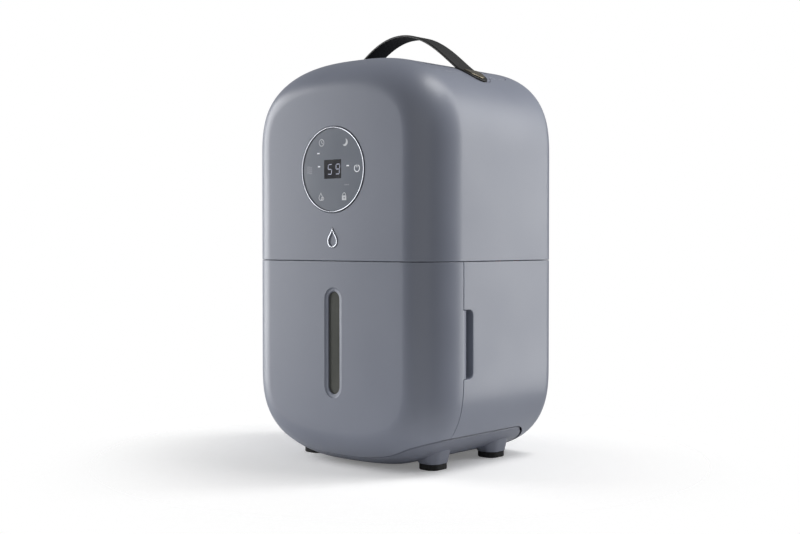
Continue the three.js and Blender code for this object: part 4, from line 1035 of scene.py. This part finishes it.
filter_front = BACK - WALL - 7 + 2.3
grille = tower(
    rounded(REAR_HALF - SEAM_GAP, REAR_TALL - SEAM_GAP, REAR_CORNER, (0, REAR_Z), 10),
    edge_levels(filter_front, BACK + PROUD, 0, 0.9, steps=4, flat=3.0),
)
pan = rounded(REAR_HALF - 2.7, REAR_TALL - 2.7, 8, (0, REAR_Z), 8)
grille = combine(grille, tower(pan, [(filter_front - 1, 0), (BACK - 2, 0)]))
louvre_levels = [(BACK - 5, 0), (BACK + 0.1, 0), (BACK + PROUD, -0.6), (BACK + BEYOND, -0.6)]
louvres = []
for row in range(LOUVRE_COUNT):
    louvre = rounded(
        LOUVRE_HALF, SLOT_RADIUS, SLOT_RADIUS, (0, LOUVRE_FIRST_Z + SLOT_PITCH * row), 6
    )
    louvres.append(tower(louvre, louvre_levels))
grille = combine(grille, joined(*louvres))
place_piece("filter_grille", grille, "rear_filter", GREY, ["rear_grille"])

gland = tower(
    circle(GLAND_RADIUS, GLAND_AT, 12),
    [
        (98.5, 0),
        (BACK - 0.2, 0),
        (BACK + 0.3, 0.5),
        (BACK + PROUD, 1.4),
        (BACK + PROUD, 3.0),
        (BACK, GLAND_RADIUS - 3.4),
        (98.5, GLAND_RADIUS - 3.4),
    ],
    ring=True,
)
place_piece("cord_bush", gland, "housing", FINISHES["rubber"], ["cord_gland"])
plug = tower(
    circle(DRAIN_RADIUS, DRAIN_AT, 14),
    [
        (91.5, 3.3),
        (92.2, 2.4),
        (BACK - 1, 2.3),
        (BACK - 0.05, 2.3),
        (BACK - 0.05, 0.2),
        (BACK + 0.2, 0),
        (BACK + PROUD, 0.8),
        (BACK + PROUD, 4.5),
        (BACK - 0.4, 5.4),
    ],
)
place_piece("drain_stopper", plug, "drain_plug", FINISHES["rubber"], ["drain_plug"])

# ---------------------------------------------------------------- water tank


def bucket_form(wall, top):
    """The bucket's outside, or its inside when drawn in by its wall: a rounded box in the body."""
    outline = rounded(BUCKET_HALF_WIDTH, BUCKET_HALF_DEPTH, BUCKET_CORNER, BUCKET_CENTRE, 10)
    floor = edge_levels(BUCKET_FLOOR + wall, top, 6, 0, steps=4)
    form = tower(outline, [(depth, inset + wall) for depth, inset in floor], "plan")
    return combine(form, body_form(BUCKET_CLEAR + wall, INNER_STEPS), "INTERSECT")


bucket = combine(bucket_form(0, BUCKET_TOP), bucket_form(BUCKET_WALL, BUCKET_TOP + 6))
place_piece("tank_tub", bucket, "tank", FINISHES["clear_pp"], ["tank_bucket"])

# ---------------------------------------------------------------- inner parts keep their shape

slots_of = {part["node"]: part["material_slot"] for part in frame["record"]["subparts"]}
for name, node in frame["nodes"].items():
    if node.hide_render:
        continue
    for holder in node.material_slots:
        holder.material = FINISHES[slots_of[name]]
    weld = node.modifiers.new("closed_edges", "WELD")
    weld.merge_threshold = CAD_WELD * MM
    edge = node.modifiers.new("eased_edges", "BEVEL")
    edge.limit_method, edge.angle_limit = "ANGLE", radians(50)
    edge.width, edge.segments = 0.25 * MM, 2

# ---------------------------------------------------------------- stage

# In metres: the floor's radius, and where it starts and ends its fade.
FLOOR_RADIUS, FADE_START, FADE_END = 2.2, 0.15, 0.42
# What the floor adds to its own light, and what the surround gives beside the lamps.
FLOOR_LIFT, AMBIENT = 0.16, 0.2

scene = bpy.context.scene
scene.view_settings.view_transform = "Standard"

floor_form = bmesh.new()
bmesh.ops.create_circle(floor_form, cap_ends=True, segments=96, radius=FLOOR_RADIUS)
floor_mesh = bpy.data.meshes.new("floor")
floor_form.to_mesh(floor_mesh)
floor_form.free()
floor = bpy.data.objects.new("floor", floor_mesh)
scene.collection.objects.link(floor)
# Matt white vinyl sweep: pale, and it fades into the white surround well before its rim.
sweep = bpy.data.materials.new("vinyl_sweep_white")
sweep.use_nodes = True
tree = sweep.node_tree
tree.nodes.clear()
place = add(tree, "ShaderNodeTexCoord").outputs["Object"]
reach = add(tree, "ShaderNodeVectorMath", {0: place}, operation="LENGTH")
fade = add(
    tree,
    "ShaderNodeMapRange",
    {"Value": reach.outputs["Value"], "From Min": FADE_START, "From Max": FADE_END},
    interpolation_type="SMOOTHSTEP",
)
grit = add(tree, "ShaderNodeTexNoise", {"Vector": place, "Scale": 500.0})
tint = add(
    tree,
    "ShaderNodeMix",
    {0: grit.outputs["Fac"], 6: linear("#f4f4f4"), 7: linear("#f8f8f8")},
    data_type="RGBA",
)
matt = add(tree, "ShaderNodeBsdfDiffuse", {"Color": tint.outputs[2]})
clear = add(tree, "ShaderNodeBsdfTransparent")
direct = add(tree, "ShaderNodeLightPath").outputs["Is Camera Ray"]
lift = add(tree, "ShaderNodeMath", {0: direct, 1: FLOOR_LIFT}, operation="MULTIPLY")
glow = add(tree, "ShaderNodeEmission", {"Strength": lift.outputs["Value"]})
lit = add(tree, "ShaderNodeAddShader", {0: matt.outputs["BSDF"], 1: glow.outputs["Emission"]})
mixed = add(
    tree,
    "ShaderNodeMixShader",
    {0: fade.outputs["Result"], 1: lit.outputs["Shader"], 2: clear.outputs["BSDF"]},
)
add(tree, "ShaderNodeOutputMaterial", {"Surface": mixed.outputs["Shader"]})
floor_mesh.materials.append(sweep)


def softbox(name, azimuth, elevation, distance, size, power, aim=(0.0, 0.0, 0.21)):
    """A rectangular studio lamp; azimuth 0 stands in front of the object, 90 on its right."""
    lamp = bpy.data.lights.new(name, "AREA")
    lamp.shape, (lamp.size, lamp.size_y), lamp.energy = "RECTANGLE", size, power
    holder = bpy.data.objects.new(name, lamp)
    turn, tilt = radians(azimuth), radians(elevation)
    back = Vector((sin(turn) * cos(tilt), -cos(turn) * cos(tilt), sin(tilt)))
    holder.location = Vector(aim) + back * distance
    holder.rotation_mode = "QUATERNION"
    holder.rotation_quaternion = back.to_track_quat("Z", "Y")
    scene.collection.objects.link(holder)


# Name, azimuth and elevation in degrees, distance in metres, size in metres, watts.
LAMPS = [
    ("softbox_right", 141, 14, 1.55, (0.4, 2.0), 17),
    ("softbox_left", -66, 8, 1.1, (0.8, 1.0), 13),
    ("softbox_top", 122, 63, 1.4, (0.6, 0.6), 9),
    ("softbox_fill", 35, 8, 1.8, (1.8, 1.6), 5),
]
for lamp in LAMPS:
    softbox(*lamp)

world = bpy.data.worlds.new("white_surround")
scene.world = world
world.use_nodes = True
tree = world.node_tree
tree.nodes.clear()
seen = add(tree, "ShaderNodeLightPath").outputs["Is Camera Ray"]
glow = add(tree, "ShaderNodeMapRange", {"Value": seen, "To Min": AMBIENT, "To Max": 1.0})
surround = add(
    tree, "ShaderNodeBackground", {"Color": (1, 1, 1, 1), "Strength": glow.outputs["Result"]}
)
add(tree, "ShaderNodeOutputWorld", {"Surface": surround.outputs["Background"]})

# The camera stands 1.35 m off, to the right of the front, and looks very slightly down.
LENS, SENSOR, STAND, TILT, TURN = 55.68, 36.0, (0.878, -1.020, 0.2326), 1.209, 40.72

camera = bpy.data.cameras.new("camera")
camera.lens, camera.sensor_width = LENS, SENSOR
camera.clip_start, camera.clip_end = 0.05, 50.0
viewer = bpy.data.objects.new("camera", camera)
viewer.location = STAND
viewer.rotation_euler = (radians(90 - TILT), 0, radians(TURN))
scene.collection.objects.link(viewer)
scene.camera = viewer
